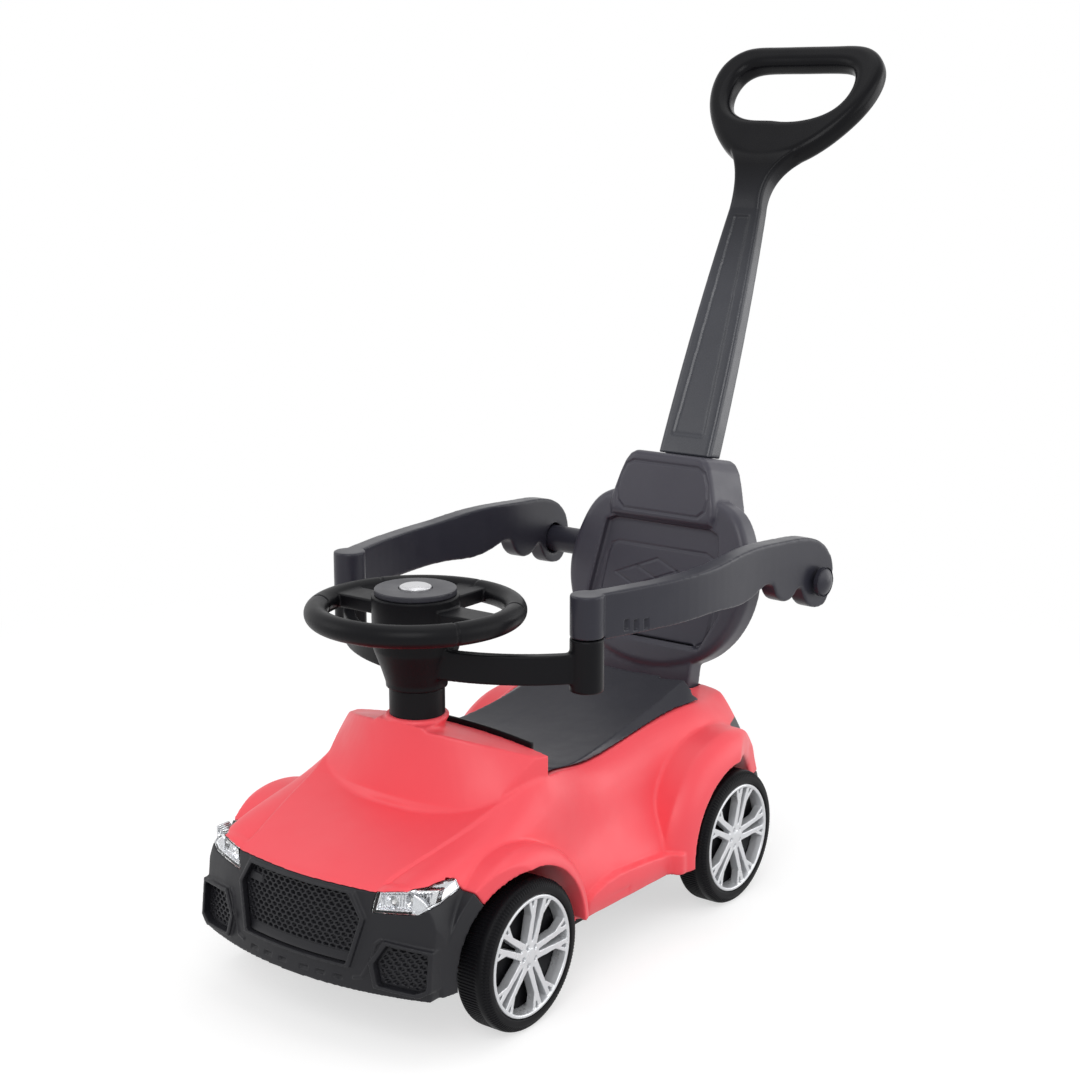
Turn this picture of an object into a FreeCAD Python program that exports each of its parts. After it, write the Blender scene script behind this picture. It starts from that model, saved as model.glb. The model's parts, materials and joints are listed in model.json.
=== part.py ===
import FreeCAD, Part
import math
import os
from types import SimpleNamespace

import Sketcher
from FreeCAD import Placement, Rotation, Vector

# Push car with handle, in millimetres.
# The car faces -Y, +Z is up and +X is its left side.
# The origin is on the floor, midway between the axles.

# Driving dimensions
SIZES = {
    # Whole car
    "wheelbase": 380,
    "track_over_tyres": 350,
    "wall": 3,
    "part_gap": 0.4,
    "running_gap": 0.08,
    "moving_gap": 0.8,
    "cut_overrun": 6,
    # Wheels
    "tyre_diameter": 150,
    "tyre_width": 38,
    "tyre_shoulder": 6,
    "tread_depth": 14,
    "rim_depth": 15,
    "rim_edge": 5,
    "rim_hub_radius": 17,
    "rim_spoke_thickness": 7,
    "rim_spoke_width": 7,
    "wheel_hub_radius": 15,
    "wheel_web": 4,
    "axle_diameter": 10,
    "nut_radius": 9,
    "nut_thickness": 4,
    # Body shell
    "body_front": 338,
    "body_rear": 332,
    "body_width": 300,
    "shoulder_height": 224,
    "sill_height": 66,
    "nose_half_width": 147,
    "nose_setback": 30,
    "nose_lean": 7,
    "tail_half_width": 140,
    "tail_taper_half_width": 147,
    "tail_taper_behind": 256,
    "tail_setback": 34,
    "tail_lean": 15,
    "arch_radius": 88,
    "front_flare_radius": 106,
    "front_flare_foot": 80,
    "rear_flare_radius": 119,
    "flare_step": 22,
    "cowl_half_width": 127,
    "cowl_foot_half_width": 105,
    "cowl_foot_front": 196,
    "cowl_back": 100,
    "cowl_foot_reach": 22,
    "cowl_ridge_depth": 60,
    "cowl_ridge_height": 253,
    "cowl_ridge_drop": 11,
    "pedestal_radius": 32,
    "pedestal_height": 262,
    "column_setback": 150,
    # Front end
    "bonnet_edge_height": 161,
    "bumper_end": 246,
    "bumper_end_height": 143,
    "lamp_tip_back": 265,
    "lamp_tip_height": 170,
    "lamp_tip_out": 143,
    "lamp_inner_out": 85,
    "lamp_foot_height": 142,
    "lamp_depth": 22,
    "lamp_wall": 2.5,
    "lamp_bulb_radius": 7,
    "grille_half_width": 76,
    "grille_top": 157,
    "grille_bottom": 90,
    "grille_thickness": 4,
    "mesh_pitch": 9,
    "mesh_rib": 1.8,
    "frame_width": 5,
    "frame_raise": 4,
    "intake_inner": 93,
    "intake_outer": 145,
    "intake_top": 115,
    "intake_bottom": 74,
    # Rear end
    "rear_bumper_start": 264,
    "rear_bumper_height": 118,
    "tail_lamp_inner": 84,
    "tail_lamp_outer": 140,
    "tail_lamp_bottom": 138,
    "tail_lamp_top": 160,
    # Seat and storage
    "seat_front": 95,
    "seat_rear": 224,
    "seat_half_width": 84,
    "lid_lap": 1,
    "lid_drop": 12,
    "seat_foot_height": 188,
    "seat_hinge_height": 221,
    "seat_hinge_inset": 9,
    "seat_barrel_half": 50,
    "hinge_ear": 6,
    "hinge_pin_diameter": 5,
    "tub_floor_height": 84,
    "tub_wall": 2.5,
    # Steering
    "column_radius": 28,
    "column_top": 304,
    "bell_top": 362,
    "bell_radius": 44,
    "rod_diameter": 12,
    "wheel_height": 381,
    "steering_wheel_diameter": 221,
    "rim_tube_diameter": 23,
    "spoke_width": 34,
    "spoke_height": 14,
    "hub_radius": 44,
    "hub_foot_height": 366,
    "hub_top_height": 398,
    "hub_cover_thickness": 6,
    "horn_radius": 16,
    "horn_rise": 3,
    "horn_travel": 2.5,
    "crank_length": 15,
    "crank_thickness": 6,
    "knuckle_arm": 25,
    "kingpin_half_track": 118,
    "kingpin_diameter": 8,
    "knuckle_radius": 11,
    "bridge_height": 112,
    "bridge_thickness": 4,
    "bridge_wall_half_track": 98,
    "bridge_half_length": 13,
    "tie_rod_height": 92,
    "tie_rod_thickness": 5,
    "tie_rod_half_width": 6,
    # Chassis
    "pan_thickness": 4,
    "pan_wheel_half_width": 97,
    "pan_nose_inset": 24,
    "spacer_radius": 8,
    "saddle_width": 8,
    "screw_radius": 2,
    "screw_head_radius": 4,
    "screw_head_height": 2.5,
    "screw_length": 14,
    "foot_rest_length": 76,
    "foot_rest_width": 34,
    "foot_rest_thickness": 8,
    "foot_rest_pivot_out": 118,
    "foot_rest_pivot_front": 52,
    # Backrest
    "back_foot_behind": 255,
    "back_foot_height": 216,
    "back_lean": 12,
    "back_height": 262,
    "back_half_width": 125,
    "back_depth": 32,
    "back_wall": 3,
    "neck_depth": 12,
    "back_round": 10,
    "headrest_depth": 66,
    "lumbar_recess": 9,
    "headrest_raise": 7,
    "rear_cover_thickness": 4,
    "cross_tube_radius": 16,
    "cross_tube_wall": 2.5,
    "cross_tube_behind": 320,
    "cross_tube_height": 346,
    # Push handle
    "handle_lean": 23.6,
    "handle_front": 337,
    "handle_foot_height": 466,
    "shaft_length": 310,
    "shaft_base_width": 72,
    "shaft_base_depth": 28,
    "shaft_neck_width": 44,
    "shaft_neck_depth": 22,
    "shaft_middle_width": 64,
    "shaft_tuck": 14,
    "tongue_width": 50,
    "tongue_depth": 18,
    "tongue_length": 80,
    "shaft_panel_recess": 2,
    "loop_lean": 39.7,
    "loop_half_width": 114,
    "loop_height": 181,
    "loop_bar": 31,
    "loop_hole_height": 85,
    "loop_depth": 30,
    "loop_round": 12,
    "neck_length": 38,
    "handle_wall": 4,
    # Guard
    "post_out": 155,
    "post_behind": 76,
    "post_radius": 17,
    "post_foot_height": 308,
    "arm_foot_height": 362,
    "arm_top": 406,
    "arm_flare": 4.2,
    "arm_length": 429,
    "arm_thickness": 20,
    "arm_bow": 18,
    "rail_height": 30,
    "rail_thickness": 12,
    "rail_foot_height": 317,
    "rail_front": 156,
    "pivot_pin_radius": 6,
    "socket_gap": 2.6,
    "socket_wall": 8,
    "knob_radius": 17,
    "knob_stem_radius": 5,
    "knob_height": 10,
    "knob_travel": 3,
}

# Outline shares, chosen by eye from the shape of the car
STATION_SHARES = [
    # along (half wheelbases), crown, crease out and up, waist out and up, door out, bulge out, sill out
    (-1.85, 0.700, 0.58, 0.695, 0.86, 0.655, 0.96, 0.99, 0.96),
    (-1.60, 0.748, 0.60, 0.742, 0.91, 0.690, 0.98, 1.00, 0.98),
    (-1.37, 0.797, 0.65, 0.803, 0.93, 0.735, 0.99, 1.01, 0.98),
    (-1.00, 0.860, 0.72, 0.893, 0.95, 0.780, 0.99, 1.01, 0.98),
    (-0.55, 0.900, 0.84, 0.985, 0.92, 0.860, 0.950, 1.00, 0.97),
    (0.00, 0.845, 0.655, 0.890, 0.76, 0.820, 0.870, 1.00, 0.99),
    (0.55, 0.865, 0.645, 0.920, 0.76, 0.830, 0.880, 1.02, 1.01),
    (1.00, 0.930, 0.70, 0.962, 0.85, 0.850, 0.930, 1.03, 1.01),
    (1.37, 0.955, 0.64, 0.935, 0.82, 0.795, 0.920, 0.98, 0.96),
    (1.75, 0.850, 0.53, 0.800, 0.73, 0.700, 0.830, 0.90, 0.88),
]
DOOR_UP_SHARE = 0.60
BULGE_UP_SHARE = 0.43
GRILLE_OUTLINE_SHARES = [(0.82, 1.0), (1.0, 0.67), (0.84, 0.0)]
INTAKE_OUTLINE_SHARES = [(0.22, 1.0), (1.0, 0.92), (1.0, 0.12), (0.80, 0.0), (0.10, 0.06), (0.0, 0.52)]
LAMP_OUTLINE_SHARES = [(0.0, 0.0), (0.07, 0.70), (1.0, 1.0), (0.94, 0.40), (0.78, 0.16)]
TAIL_LAMP_OUTLINE_SHARES = [(0.0, 0.15), (0.0, 1.0), (1.0, 0.75), (1.0, 0.0)]
LID_SHARES = [
    # body station, edge out (of the half width), edge up and dish up (of the shoulder height)
    (4, 0.760, 1.054, 1.020),
    (5, 0.640, 0.915, 0.893),
    (6, 0.570, 0.953, 0.922),
    (7, 0.560, 1.022, 0.995),
    (8, 0.550, 1.125, 1.100),
]
BACK_OUTLINE_SHARES = [(0.60, 0.115), (0.89, 0.26), (1.0, 0.45), (0.93, 0.63), (0.74, 0.78), (0.52, 0.825)]
LUMBAR_OUTLINE_SHARES = [(0.56, 0.16), (0.73, 0.32), (0.62, 0.67), (0.52, 0.69)]
HEADREST_OUTLINE_SHARES = [(0.56, 0.70), (0.58, 0.745), (0.572, 0.79), (0.51, 0.895), (0.468, 0.95),
                           (0.42, 0.984), (0.36, 1.0)]
NECK_HALF_WIDTH_SHARE = 0.50
NECK_TOP_SHARE = 0.17
ARM_TOP_SHARES = [(0.0, 1.0), (0.114, 0.99), (0.322, 0.95), (0.434, 0.97), (0.548, 1.035), (0.685, 1.005),
                  (0.783, 0.935), (0.876, 0.84), (0.942, 0.61), (0.986, 0.20), (1.0, -0.20)]
ARM_FOOT_SHARES = [(0.991, -0.60), (0.963, -1.06), (0.915, -1.09), (0.867, -0.77), (0.836, -0.40), (0.819, -0.52),
                   (0.772, -0.65), (0.722, -0.32), (0.712, -0.14), (0.616, -0.17), (0.44, -0.17), (0.324, -0.14),
                   (0.182, -0.115), (0.043, -0.09), (0.0, -0.09)]
ARM_BOW_SHARES = [(0.0, 0.0), (0.15, 0.65), (0.30, 1.0), (0.45, 0.85), (0.65, 0.25), (0.82, 0.03), (1.0, 0.0)]
LOOP_OUTER_SHARES = [(0.0, 0.0), (0.36, 0.06), (0.80, 0.33), (1.0, 0.62), (0.96, 0.86), (0.78, 0.97), (0.40, 1.0),
                     (0.0, 1.0)]
LOOP_INNER_SHARES = [(0.0, 0.0), (0.50, 0.03), (0.86, 0.22), (1.0, 0.58), (0.90, 0.90), (0.50, 1.0), (0.0, 1.0)]
PANEL_SHARES = [0.08, 0.97, 0.30, 0.24]
RIDGE_BOW_SHARE = 0.8
BROW_SHARE = 0.25
EAR_SHARE = 0.8
EAR_ROOM_SHARE = 1.3
EAR_FOOT_SHARE = 0.6
BOSS_OUT_SHARE = 0.7
BOSS_ALONG_SHARE = 0.5
PAN_CORNER_SHARE = 0.6
PAN_TONGUE_SHARE = 0.9
WINDOW_FOOT_SHARE = 0.4
WINDOW_END_SHARE = 0.5
SLOT_FOOT_SHARE = 0.12
SLOT_END_SHARE = 0.62
TIE_TAB_SHARE = 0.7
SOCKET_SHARE = 0.4
WELL_SHARE = 0.45
MODULE_SHARE = 0.56
CELL_SHARE = 0.48
CELL_PLACE_SHARES = [1.2, 3.3]
THROAT_SHARES = [1.1, 0.9]
NECK_SHOULDER_SHARE = 2.1
LOOP_FOOT_SHARE = 0.55
BELL_SHARES = [(0.0, 0.0), (0.0, 0.08), (0.35, 0.33), (0.92, 0.68), (1.0, 1.0)]
PIN_TOP_SHARE = 0.8
SPOKE_COUNT = 5
THROUGH = 4
HALF = 0.5

doc = FreeCAD.newDocument("push_car")
sheet = doc.addObject("Spreadsheet::Sheet", "Sizes")
for row, (alias, number) in enumerate(SIZES.items(), start=1):
    sheet.set(f"A{row}", alias)
    sheet.set(f"B{row}", str(number))
    sheet.setAlias(f"B{row}", alias)
doc.recompute()


class Size:
    """A length that keeps its formula in the sheet's cells beside its present value."""

    def __init__(self, text, value):
        self.text = text
        self.value = value

    def __float__(self):
        return float(self.value)

    def __neg__(self):
        return Size(f"(-{self.text})", -self.value)

    def __add__(self, other):
        other = as_size(other)
        return Size(f"({self.text} + {other.text})", self.value + other.value)

    def __sub__(self, other):
        other = as_size(other)
        return Size(f"({self.text} - {other.text})", self.value - other.value)

    def __mul__(self, share):
        return Size(f"({self.text} * {share})", self.value * share)


def as_size(value):
    return value if isinstance(value, Size) else Size(str(value), value)


V = SimpleNamespace(**{alias: float(sheet.get(alias)) for alias in SIZES})
S = SimpleNamespace(**{alias: Size(f"Sizes.{alias}", float(sheet.get(alias))) for alias in SIZES})
X_AXIS = Vector(1, 0, 0)
Y_AXIS = Vector(0, 1, 0)
Z_AXIS = Vector(0, 0, 1)
nodes = []


# Helpers for bound primitives
def finish(item, label):
    item.Label = label
    nodes.append(item)
    return item


def turned(direction, base=Vector()):
    return Placement(base, Rotation(Z_AXIS, direction))


def cylinder(name, radius, height, base, direction=Z_AXIS):
    item = doc.addObject("Part::Cylinder", name)
    item.setExpression("Radius", as_size(radius).text)
    item.setExpression("Height", as_size(height).text)
    item.Placement = turned(direction, base)
    return item


def box(name, length, width, height, corner):
    item = doc.addObject("Part::Box", name)
    item.setExpression("Length", as_size(length).text)
    item.setExpression("Width", as_size(width).text)
    item.setExpression("Height", as_size(height).text)
    item.Placement = Placement(corner, Rotation())
    return item


def fuse(name, items):
    item = doc.addObject("Part::MultiFuse", name)
    item.Shapes = items
    return item


def cut(name, base, tools):
    item = doc.addObject("Part::Cut", name)
    item.Base = base
    item.Tool = tools[0] if len(tools) == 1 else fuse(name + "_tools", tools)
    return item


def group(name, items):
    item = doc.addObject("Part::Compound", name)
    item.Links = items
    return item


def feature(label, shape):
    item = doc.addObject("Part::Feature", label)
    item.Shape = shape
    return finish(item, label)


# Helpers for sketched bodies
def new_body(label):
    return finish(doc.addObject("PartDesign::Body", label), label)


def new_sketch(body, role, name, lift=None):
    sketch = body.newObject("Sketcher::SketchObject", name)
    plane = [item for item in body.Origin.OriginFeatures if item.Role == role][0]
    sketch.AttachmentSupport = [(plane, "")]
    sketch.MapMode = "FlatFace"
    if lift is not None:
        sketch.setExpression("AttachmentOffset.Base.z", lift.text)
    return sketch


def hold(sketch, kind, geometry, point, value):
    number = float(value)
    if number == 0:
        axis = -2 if kind == "DistanceX" else -1
        sketch.addConstraint(Sketcher.Constraint("PointOnObject", geometry, point, axis))
        return
    index = sketch.addConstraint(Sketcher.Constraint(kind, -1, 1, geometry, point, number))
    sketch.setExpression(f"Constraints[{index}]", as_size(value).text)


def outline(sketch, points):
    first = sketch.GeometryCount
    count = len(points)
    for index in range(count):
        start = points[index]
        end = points[(index + 1) % count]
        corners = [Vector(float(across), float(along), 0) for across, along in (start, end)]
        sketch.addGeometry(Part.LineSegment(*corners), False)
    for index in range(count):
        following = first + (index + 1) % count
        sketch.addConstraint(Sketcher.Constraint("Coincident", first + index, 2, following, 1))
    for index, (across, along) in enumerate(points):
        hold(sketch, "DistanceX", first + index, 1, across)
        hold(sketch, "DistanceY", first + index, 1, along)


def circle(sketch, across, along, radius):
    ring = Part.Circle(Vector(float(across), float(along), 0), Z_AXIS, float(radius))
    index = sketch.addGeometry(ring, False)
    hold(sketch, "DistanceX", index, 3, across)
    hold(sketch, "DistanceY", index, 3, along)
    size = sketch.addConstraint(Sketcher.Constraint("Radius", index, float(radius)))
    sketch.setExpression(f"Constraints[{size}]", as_size(radius).text)


def pad(body, sketch, length):
    item = body.newObject("PartDesign::Pad", sketch.Name + "_pad")
    item.Profile = sketch
    item.setExpression("Length", as_size(length).text)
    body.Tip = item
    return item


def pocket(body, sketch, length):
    item = body.newObject("PartDesign::Pocket", sketch.Name + "_pocket")
    item.Profile = sketch
    item.setExpression("Length", as_size(length).text)
    item.Midplane = True
    body.Tip = item
    return item


def revolution(body, sketch):
    item = body.newObject("PartDesign::Revolution", sketch.Name + "_turn")
    item.Profile = sketch
    item.ReferenceAxis = (sketch, ["V_Axis"])
    item.Angle = 360
    body.Tip = item
    return item


def polar_pattern(body, original, count):
    item = body.newObject("PartDesign::PolarPattern", original.Name + "_ring")
    item.Originals = [original]
    plane_axis = [axis for axis in body.Origin.OriginFeatures if axis.Role == "Z_Axis"][0]
    item.Axis = (plane_axis, [""])
    item.Angle = 360
    item.Occurrences = count
    body.Tip = item
    return item


# Helpers for free shapes
def spline(points):
    curve = Part.BSplineCurve()
    curve.interpolate(points)
    return curve.toShape()


def closed_spline(points):
    curve = Part.BSplineCurve()
    curve.interpolate(Points=points, PeriodicFlag=True)
    return Part.Wire([curve.toShape()])


def polygon_wire(points):
    return Part.makePolygon(points + [points[0]])


def prism(points, way):
    return Part.Face(polygon_wire(points)).extrude(way)


def loft(wires, ruled=False):
    return Part.makeLoft(wires, True, ruled)


def mirrored(shape):
    return shape.mirror(Vector(), X_AXIS)


def both_sides(shape):
    return shape.fuse(mirrored(shape))


def solid_box(low, high):
    return Part.makeBox(high[0] - low[0], high[1] - low[1], high[2] - low[2], Vector(*low))


def largest(shape):
    return max(shape.Solids, key=lambda solid: solid.Volume)


def tube(outer, inner, height, base, direction=Z_AXIS):
    return Part.makeCylinder(outer, height, base, direction).cut(Part.makeCylinder(inner, height, base, direction))


# Places worked out from the driving dimensions
axle_height = V.tyre_diameter / 2
front_axle = -V.wheelbase / 2
rear_axle = V.wheelbase / 2
tyre_face = V.track_over_tyres / 2
tyre_inner = tyre_face - V.tyre_width
half_width = V.body_width / 2
far = V.body_front + V.body_rear
column_y = -V.column_setback
seat_front = -V.seat_front
pan_top = V.sill_height
pan_foot = pan_top - V.pan_thickness


# Body hull, shared by the shell, the bumpers and the lamps
def station_wire(shares, inset, foot):
    along, crown, crease_out, crease_up, waist_out, waist_up, door_out, bulge_out, sill_out = shares
    y = along * V.wheelbase / 2
    top = V.shoulder_height
    crease = (crease_out * half_width - inset, crease_up * top - inset)
    waist = (waist_out * half_width - inset, waist_up * top - inset * HALF)
    door = (door_out * half_width - inset, DOOR_UP_SHARE * top)
    bulge = (bulge_out * half_width - inset, BULGE_UP_SHARE * top)
    sill = (sill_out * half_width - inset, foot)

    def side(points, sign):
        return spline([Vector(sign * x, y, z) for x, z in points])

    left = side([sill, bulge, door, waist, crease], 1)
    ridge = Vector(0, y, crown * top - inset)
    roof = spline([Vector(crease[0], y, crease[1]), ridge, Vector(-crease[0], y, crease[1])])
    right = side([crease, waist, door, bulge, sill], -1)
    base = Part.LineSegment(Vector(-sill[0], y, foot), Vector(sill[0], y, foot)).toShape()
    return Part.Wire([left, roof, right, base])


def hull_skin(inset, foot):
    return loft([station_wire(shares, inset, foot) for shares in STATION_SHARES])


def plan_limits(inset):
    """The space between the bowed nose and tail faces, both leaning in, with sides that taper from the axles."""
    side = tyre_face - inset
    nose_side = V.nose_half_width - inset
    tail_side = V.tail_half_width - inset
    taper_side = V.tail_taper_half_width - inset

    def wire(z):
        rise = z - V.sill_height
        nose = -V.body_front + inset + rise * math.tan(math.radians(V.nose_lean))
        tail = V.body_rear - inset - rise * math.tan(math.radians(V.tail_lean))
        nose_corner = nose + V.nose_setback * (V.nose_half_width / half_width) ** 2
        tail_corner = tail - V.tail_setback * (V.tail_half_width / half_width) ** 2
        left = [(nose_side, nose_corner), (side, front_axle), (side, rear_axle), (taper_side, V.tail_taper_behind),
                (tail_side, tail_corner)]
        right = [(-x, y) for x, y in reversed(left)]
        front = Part.Arc(Vector(-nose_side, nose_corner, z), Vector(0, nose, z), Vector(nose_side, nose_corner, z))
        back = Part.Arc(Vector(tail_side, tail_corner, z), Vector(0, tail, z), Vector(-tail_side, tail_corner, z))

        def sides(points):
            return [Part.LineSegment(Vector(*a, z), Vector(*b, z)) for a, b in zip(points, points[1:])]

        return Part.Wire([edge.toShape() for edge in [front] + sides(left) + [back] + sides(right)])

    low = V.sill_height - V.cut_overrun
    high = V.pedestal_height + V.cut_overrun
    return loft([wire(low), wire(high)], ruled=True)


def flare(axle_y, radius, inset, foot):
    """The raised band around one wheel arch, on the left side."""
    face = tyre_face - V.part_gap - inset
    root = half_width - V.flare_step - V.wall
    inner = V.arch_radius - V.cut_overrun
    outer = radius - inset
    centre = Vector(0, axle_y, axle_height)

    def at(x, reach):
        return Vector(x, axle_y, axle_height + reach)

    brow_top = at(face - V.flare_step * BROW_SHARE, (V.arch_radius + outer) / 2 + V.wall)
    brow = Part.Arc(at(face, V.arch_radius + inset), brow_top, at(face - V.flare_step, outer))
    edges = [
        Part.LineSegment(at(root, inner), at(face, inner)),
        Part.LineSegment(at(face, inner), at(face, V.arch_radius + inset)),
        brow,
        Part.LineSegment(at(face - V.flare_step, outer), at(root, outer)),
        Part.LineSegment(at(root, outer), at(root, inner)),
    ]
    ring = Part.Face(Part.Wire([edge.toShape() for edge in edges])).revolve(centre, X_AXIS, 360)
    return ring.common(solid_box((0, -far, foot), (far, far, far)))


def cowl(inset):
    """The raked windscreen block with its straight back and bowed ridge."""
    rake = inset * 2

    def section(x, drop, shift):
        ridge = -V.cowl_back - V.cowl_ridge_depth + shift + inset
        top = V.cowl_ridge_height - drop - inset
        back = -V.cowl_back - inset
        foot = V.bonnet_edge_height
        points = [(-V.cowl_foot_front - V.cowl_foot_reach + rake, foot), (ridge, top), (back, top), (back, foot)]
        return polygon_wire([Vector(x, y, z) for y, z in points])

    side = V.cowl_half_width - inset
    shift = V.cowl_ridge_depth * RIDGE_BOW_SHARE
    ends = [section(way * side, V.cowl_ridge_drop, shift) for way in (-1, 1)]
    block = loft([ends[0], section(0, 0, 0), ends[1]])
    foot_side = V.cowl_foot_half_width - inset
    plan = [
        Vector(-foot_side, -V.cowl_foot_front, 0),
        Vector(foot_side, -V.cowl_foot_front, 0),
        Vector(side, -V.cowl_back, 0),
        Vector(-side, -V.cowl_back, 0),
    ]
    return block.common(prism(plan, Vector(0, 0, far)))


def pedestal(inset):
    foot = Vector(0, column_y, V.bonnet_edge_height)
    return Part.makeCylinder(V.pedestal_radius - inset, V.pedestal_height - inset - V.bonnet_edge_height, foot)


def hull_volume(inset, foot):
    wheels = [(front_axle, V.front_flare_radius), (rear_axle, V.rear_flare_radius)]
    flares = [both_sides(flare(axle, radius, inset, foot)) for axle, radius in wheels]
    whole = hull_skin(inset, foot).multiFuse(flares + [cowl(inset), pedestal(inset)])
    return whole.common(plan_limits(inset))


def arch_cutter(axle_y, radius):
    return Part.makeCylinder(radius, far, Vector(-far / 2, axle_y, axle_height), X_AXIS)


hull_outer = hull_volume(0, V.sill_height)
hull_inner = hull_volume(V.wall, V.sill_height - V.cut_overrun)
arch_cutters = [arch_cutter(axle, V.arch_radius) for axle in (front_axle, rear_axle)]
hull = hull_outer.cut(hull_inner).cut(arch_cutters)


def arch_liner(axle_y):
    """The curved inner lining of a wheel arch on both sides."""
    ring = tube(V.arch_radius + V.wall, V.arch_radius, far, Vector(-far / 2, axle_y, axle_height), X_AXIS)
    middle = V.bridge_wall_half_track + V.wall
    gap = solid_box((-middle, -far, -far), (middle, far, far))
    return ring.cut(gap).common(hull_outer)


def side_region(points):
    """A block that cuts across the whole car along an outline seen from the side."""
    return prism([Vector(-far, y, z) for y, z in points], Vector(2 * far, 0, 0))


def bumper_region(gap):
    top = V.bonnet_edge_height + gap
    lamp_inner_back = V.body_front - V.nose_setback
    return side_region([
        (-far, 0),
        (-far, top),
        (-lamp_inner_back, top),
        (-V.lamp_tip_back + gap, V.lamp_tip_height + gap),
        (-V.bumper_end + gap, V.bumper_end_height + gap),
        (-V.bumper_end + gap, 0),
    ])


def rear_bumper_region(gap):
    return side_region([
        (V.rear_bumper_start - gap, 0),
        (V.rear_bumper_start - gap, V.rear_bumper_height + gap),
        (far, V.rear_bumper_height + gap),
        (far, 0),
    ])


def front_outline(shares, low, high):
    """Points of an outline seen from the front, between two corners given as (out, up)."""
    return [(low[0] + out * (high[0] - low[0]), low[1] + up * (high[1] - low[1])) for out, up in shares]


def grown(points, amount):
    """The outline moved outwards from its middle by an amount."""
    middle_x = sum(x for x, z in points) / len(points)
    middle_z = sum(z for x, z in points) / len(points)
    moved = []
    for x, z in points:
        reach = math.hypot(x - middle_x, z - middle_z)
        moved.append((x + (x - middle_x) / reach * amount, z + (z - middle_z) / reach * amount))
    return moved


def front_prism(points, start, end):
    return prism([Vector(x, start, z) for x, z in points], Vector(0, end - start, 0))


grille_half = front_outline(GRILLE_OUTLINE_SHARES, (0, V.grille_bottom), (V.grille_half_width, V.grille_top))
grille_points = grille_half + [(-x, z) for x, z in reversed(grille_half)]
intake_points = front_outline(INTAKE_OUTLINE_SHARES, (V.intake_inner, V.intake_bottom),
                              (V.intake_outer, V.intake_top))
lamp_points = front_outline(LAMP_OUTLINE_SHARES, (V.lamp_inner_out, V.lamp_foot_height),
                            (V.lamp_tip_out, V.lamp_tip_height))
tail_points = front_outline(TAIL_LAMP_OUTLINE_SHARES, (V.tail_lamp_inner, V.tail_lamp_bottom),
                            (V.tail_lamp_outer, V.tail_lamp_top))
lamp_back = -V.lamp_tip_back + V.cut_overrun
lamp_floor = plan_limits(V.lamp_depth)
lamp_hole = both_sides(front_prism(grown(lamp_points, V.part_gap), -far, lamp_back).cut(lamp_floor))
tail_lamp_front = V.body_rear - V.tail_setback - V.cut_overrun
tail_lamp_hole = both_sides(front_prism(grown(tail_points, V.part_gap), tail_lamp_front, far))


def leaned(shape, lean, foot):
    """A copy of an upright shape, leaned back about X and moved to its foot point."""
    moved = shape.copy()
    moved.rotate(Vector(), X_AXIS, -lean)
    moved.translate(foot)
    return moved


back_foot = Vector(0, V.back_foot_behind, V.back_foot_height)
neck_half = V.back_half_width * NECK_HALF_WIDTH_SHARE


def backrest_neck(gap):
    """The foot of the backrest, which stands in a slot of the rear deck."""
    low = (-neck_half - gap, V.wall - gap, -V.neck_depth)
    high = (neck_half + gap, V.back_depth - V.wall + gap, V.back_height * NECK_TOP_SHARE)
    return leaned(solid_box(low, high), V.back_lean, back_foot)


# Body shell
def build_body_shell():
    shell = hull.multiFuse([arch_liner(axle) for axle in (front_axle, rear_axle)])
    side = V.seat_half_width
    opening = solid_box((-side, seat_front, V.bonnet_edge_height), (side, V.seat_rear, far))
    rod_hole = Part.makeCylinder(V.rod_diameter, far, Vector(0, column_y, 0))
    flare_foot = solid_box((half_width, front_axle, 0), (far, 0, V.front_flare_foot))
    shell = shell.cut([bumper_region(V.part_gap), rear_bumper_region(V.part_gap), lamp_hole, tail_lamp_hole, opening,
                       rod_hole, backrest_neck(V.part_gap), both_sides(flare_foot)])
    return largest(shell)


body_shell = build_body_shell()
feature("body_shell", body_shell)


# Front bumper with its raised frames
def nose_layer(depth, thickness):
    """A sheet that follows the nose, its outer face at a depth behind the face of the nose."""
    front = solid_box((-far, -far, 0), (far, front_axle, far))
    return plan_limits(depth).cut(plan_limits(depth + thickness)).common(front)


def raised_frame(points, layer):
    ring = front_prism(grown(points, V.frame_width), -far, front_axle).cut(front_prism(points, -far, front_axle))
    return ring.common(layer)


def build_front_bumper():
    layer = nose_layer(-V.frame_raise, V.frame_raise + V.wall)
    intake_frame = raised_frame(intake_points, layer)
    frames = raised_frame(grille_points, layer).multiFuse([intake_frame, mirrored(intake_frame)])
    frames = frames.common(bumper_region(0)).cut(arch_cutters)
    shell = hull.common(bumper_region(0)).fuse(frames)
    holes = [front_prism(grille_points, -far, front_axle), both_sides(front_prism(intake_points, -far, front_axle))]
    return largest(shell.cut(holes + [lamp_hole]))


front_bumper = build_front_bumper()
feature("front_bumper", front_bumper)


# Lamps, grilles and rear end
def lamp_lens(points, start, end):
    return hull.common(front_prism(points, start, end))


def lamp_reflector(points, start, end):
    """A bright block behind the lens with a hollow for the bulb."""
    block = largest(hull_inner.common(front_prism(grown(points, -V.lamp_wall), start, end)).cut(lamp_floor))
    middle = block.CenterOfMass
    hollow = Part.makeCylinder(V.lamp_bulb_radius, middle.y - start, Vector(middle.x, start, middle.z), Y_AXIS)
    return largest(block.cut(hollow))


left_lens = largest(lamp_lens(lamp_points, -far, lamp_back).cut(lamp_floor))
feature("left_head_lamp_lens", left_lens)
feature("right_head_lamp_lens", mirrored(left_lens))
left_reflector = lamp_reflector(lamp_points, -far, lamp_back)
feature("left_head_lamp_reflector", left_reflector)
feature("right_head_lamp_reflector", mirrored(left_reflector))


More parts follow.
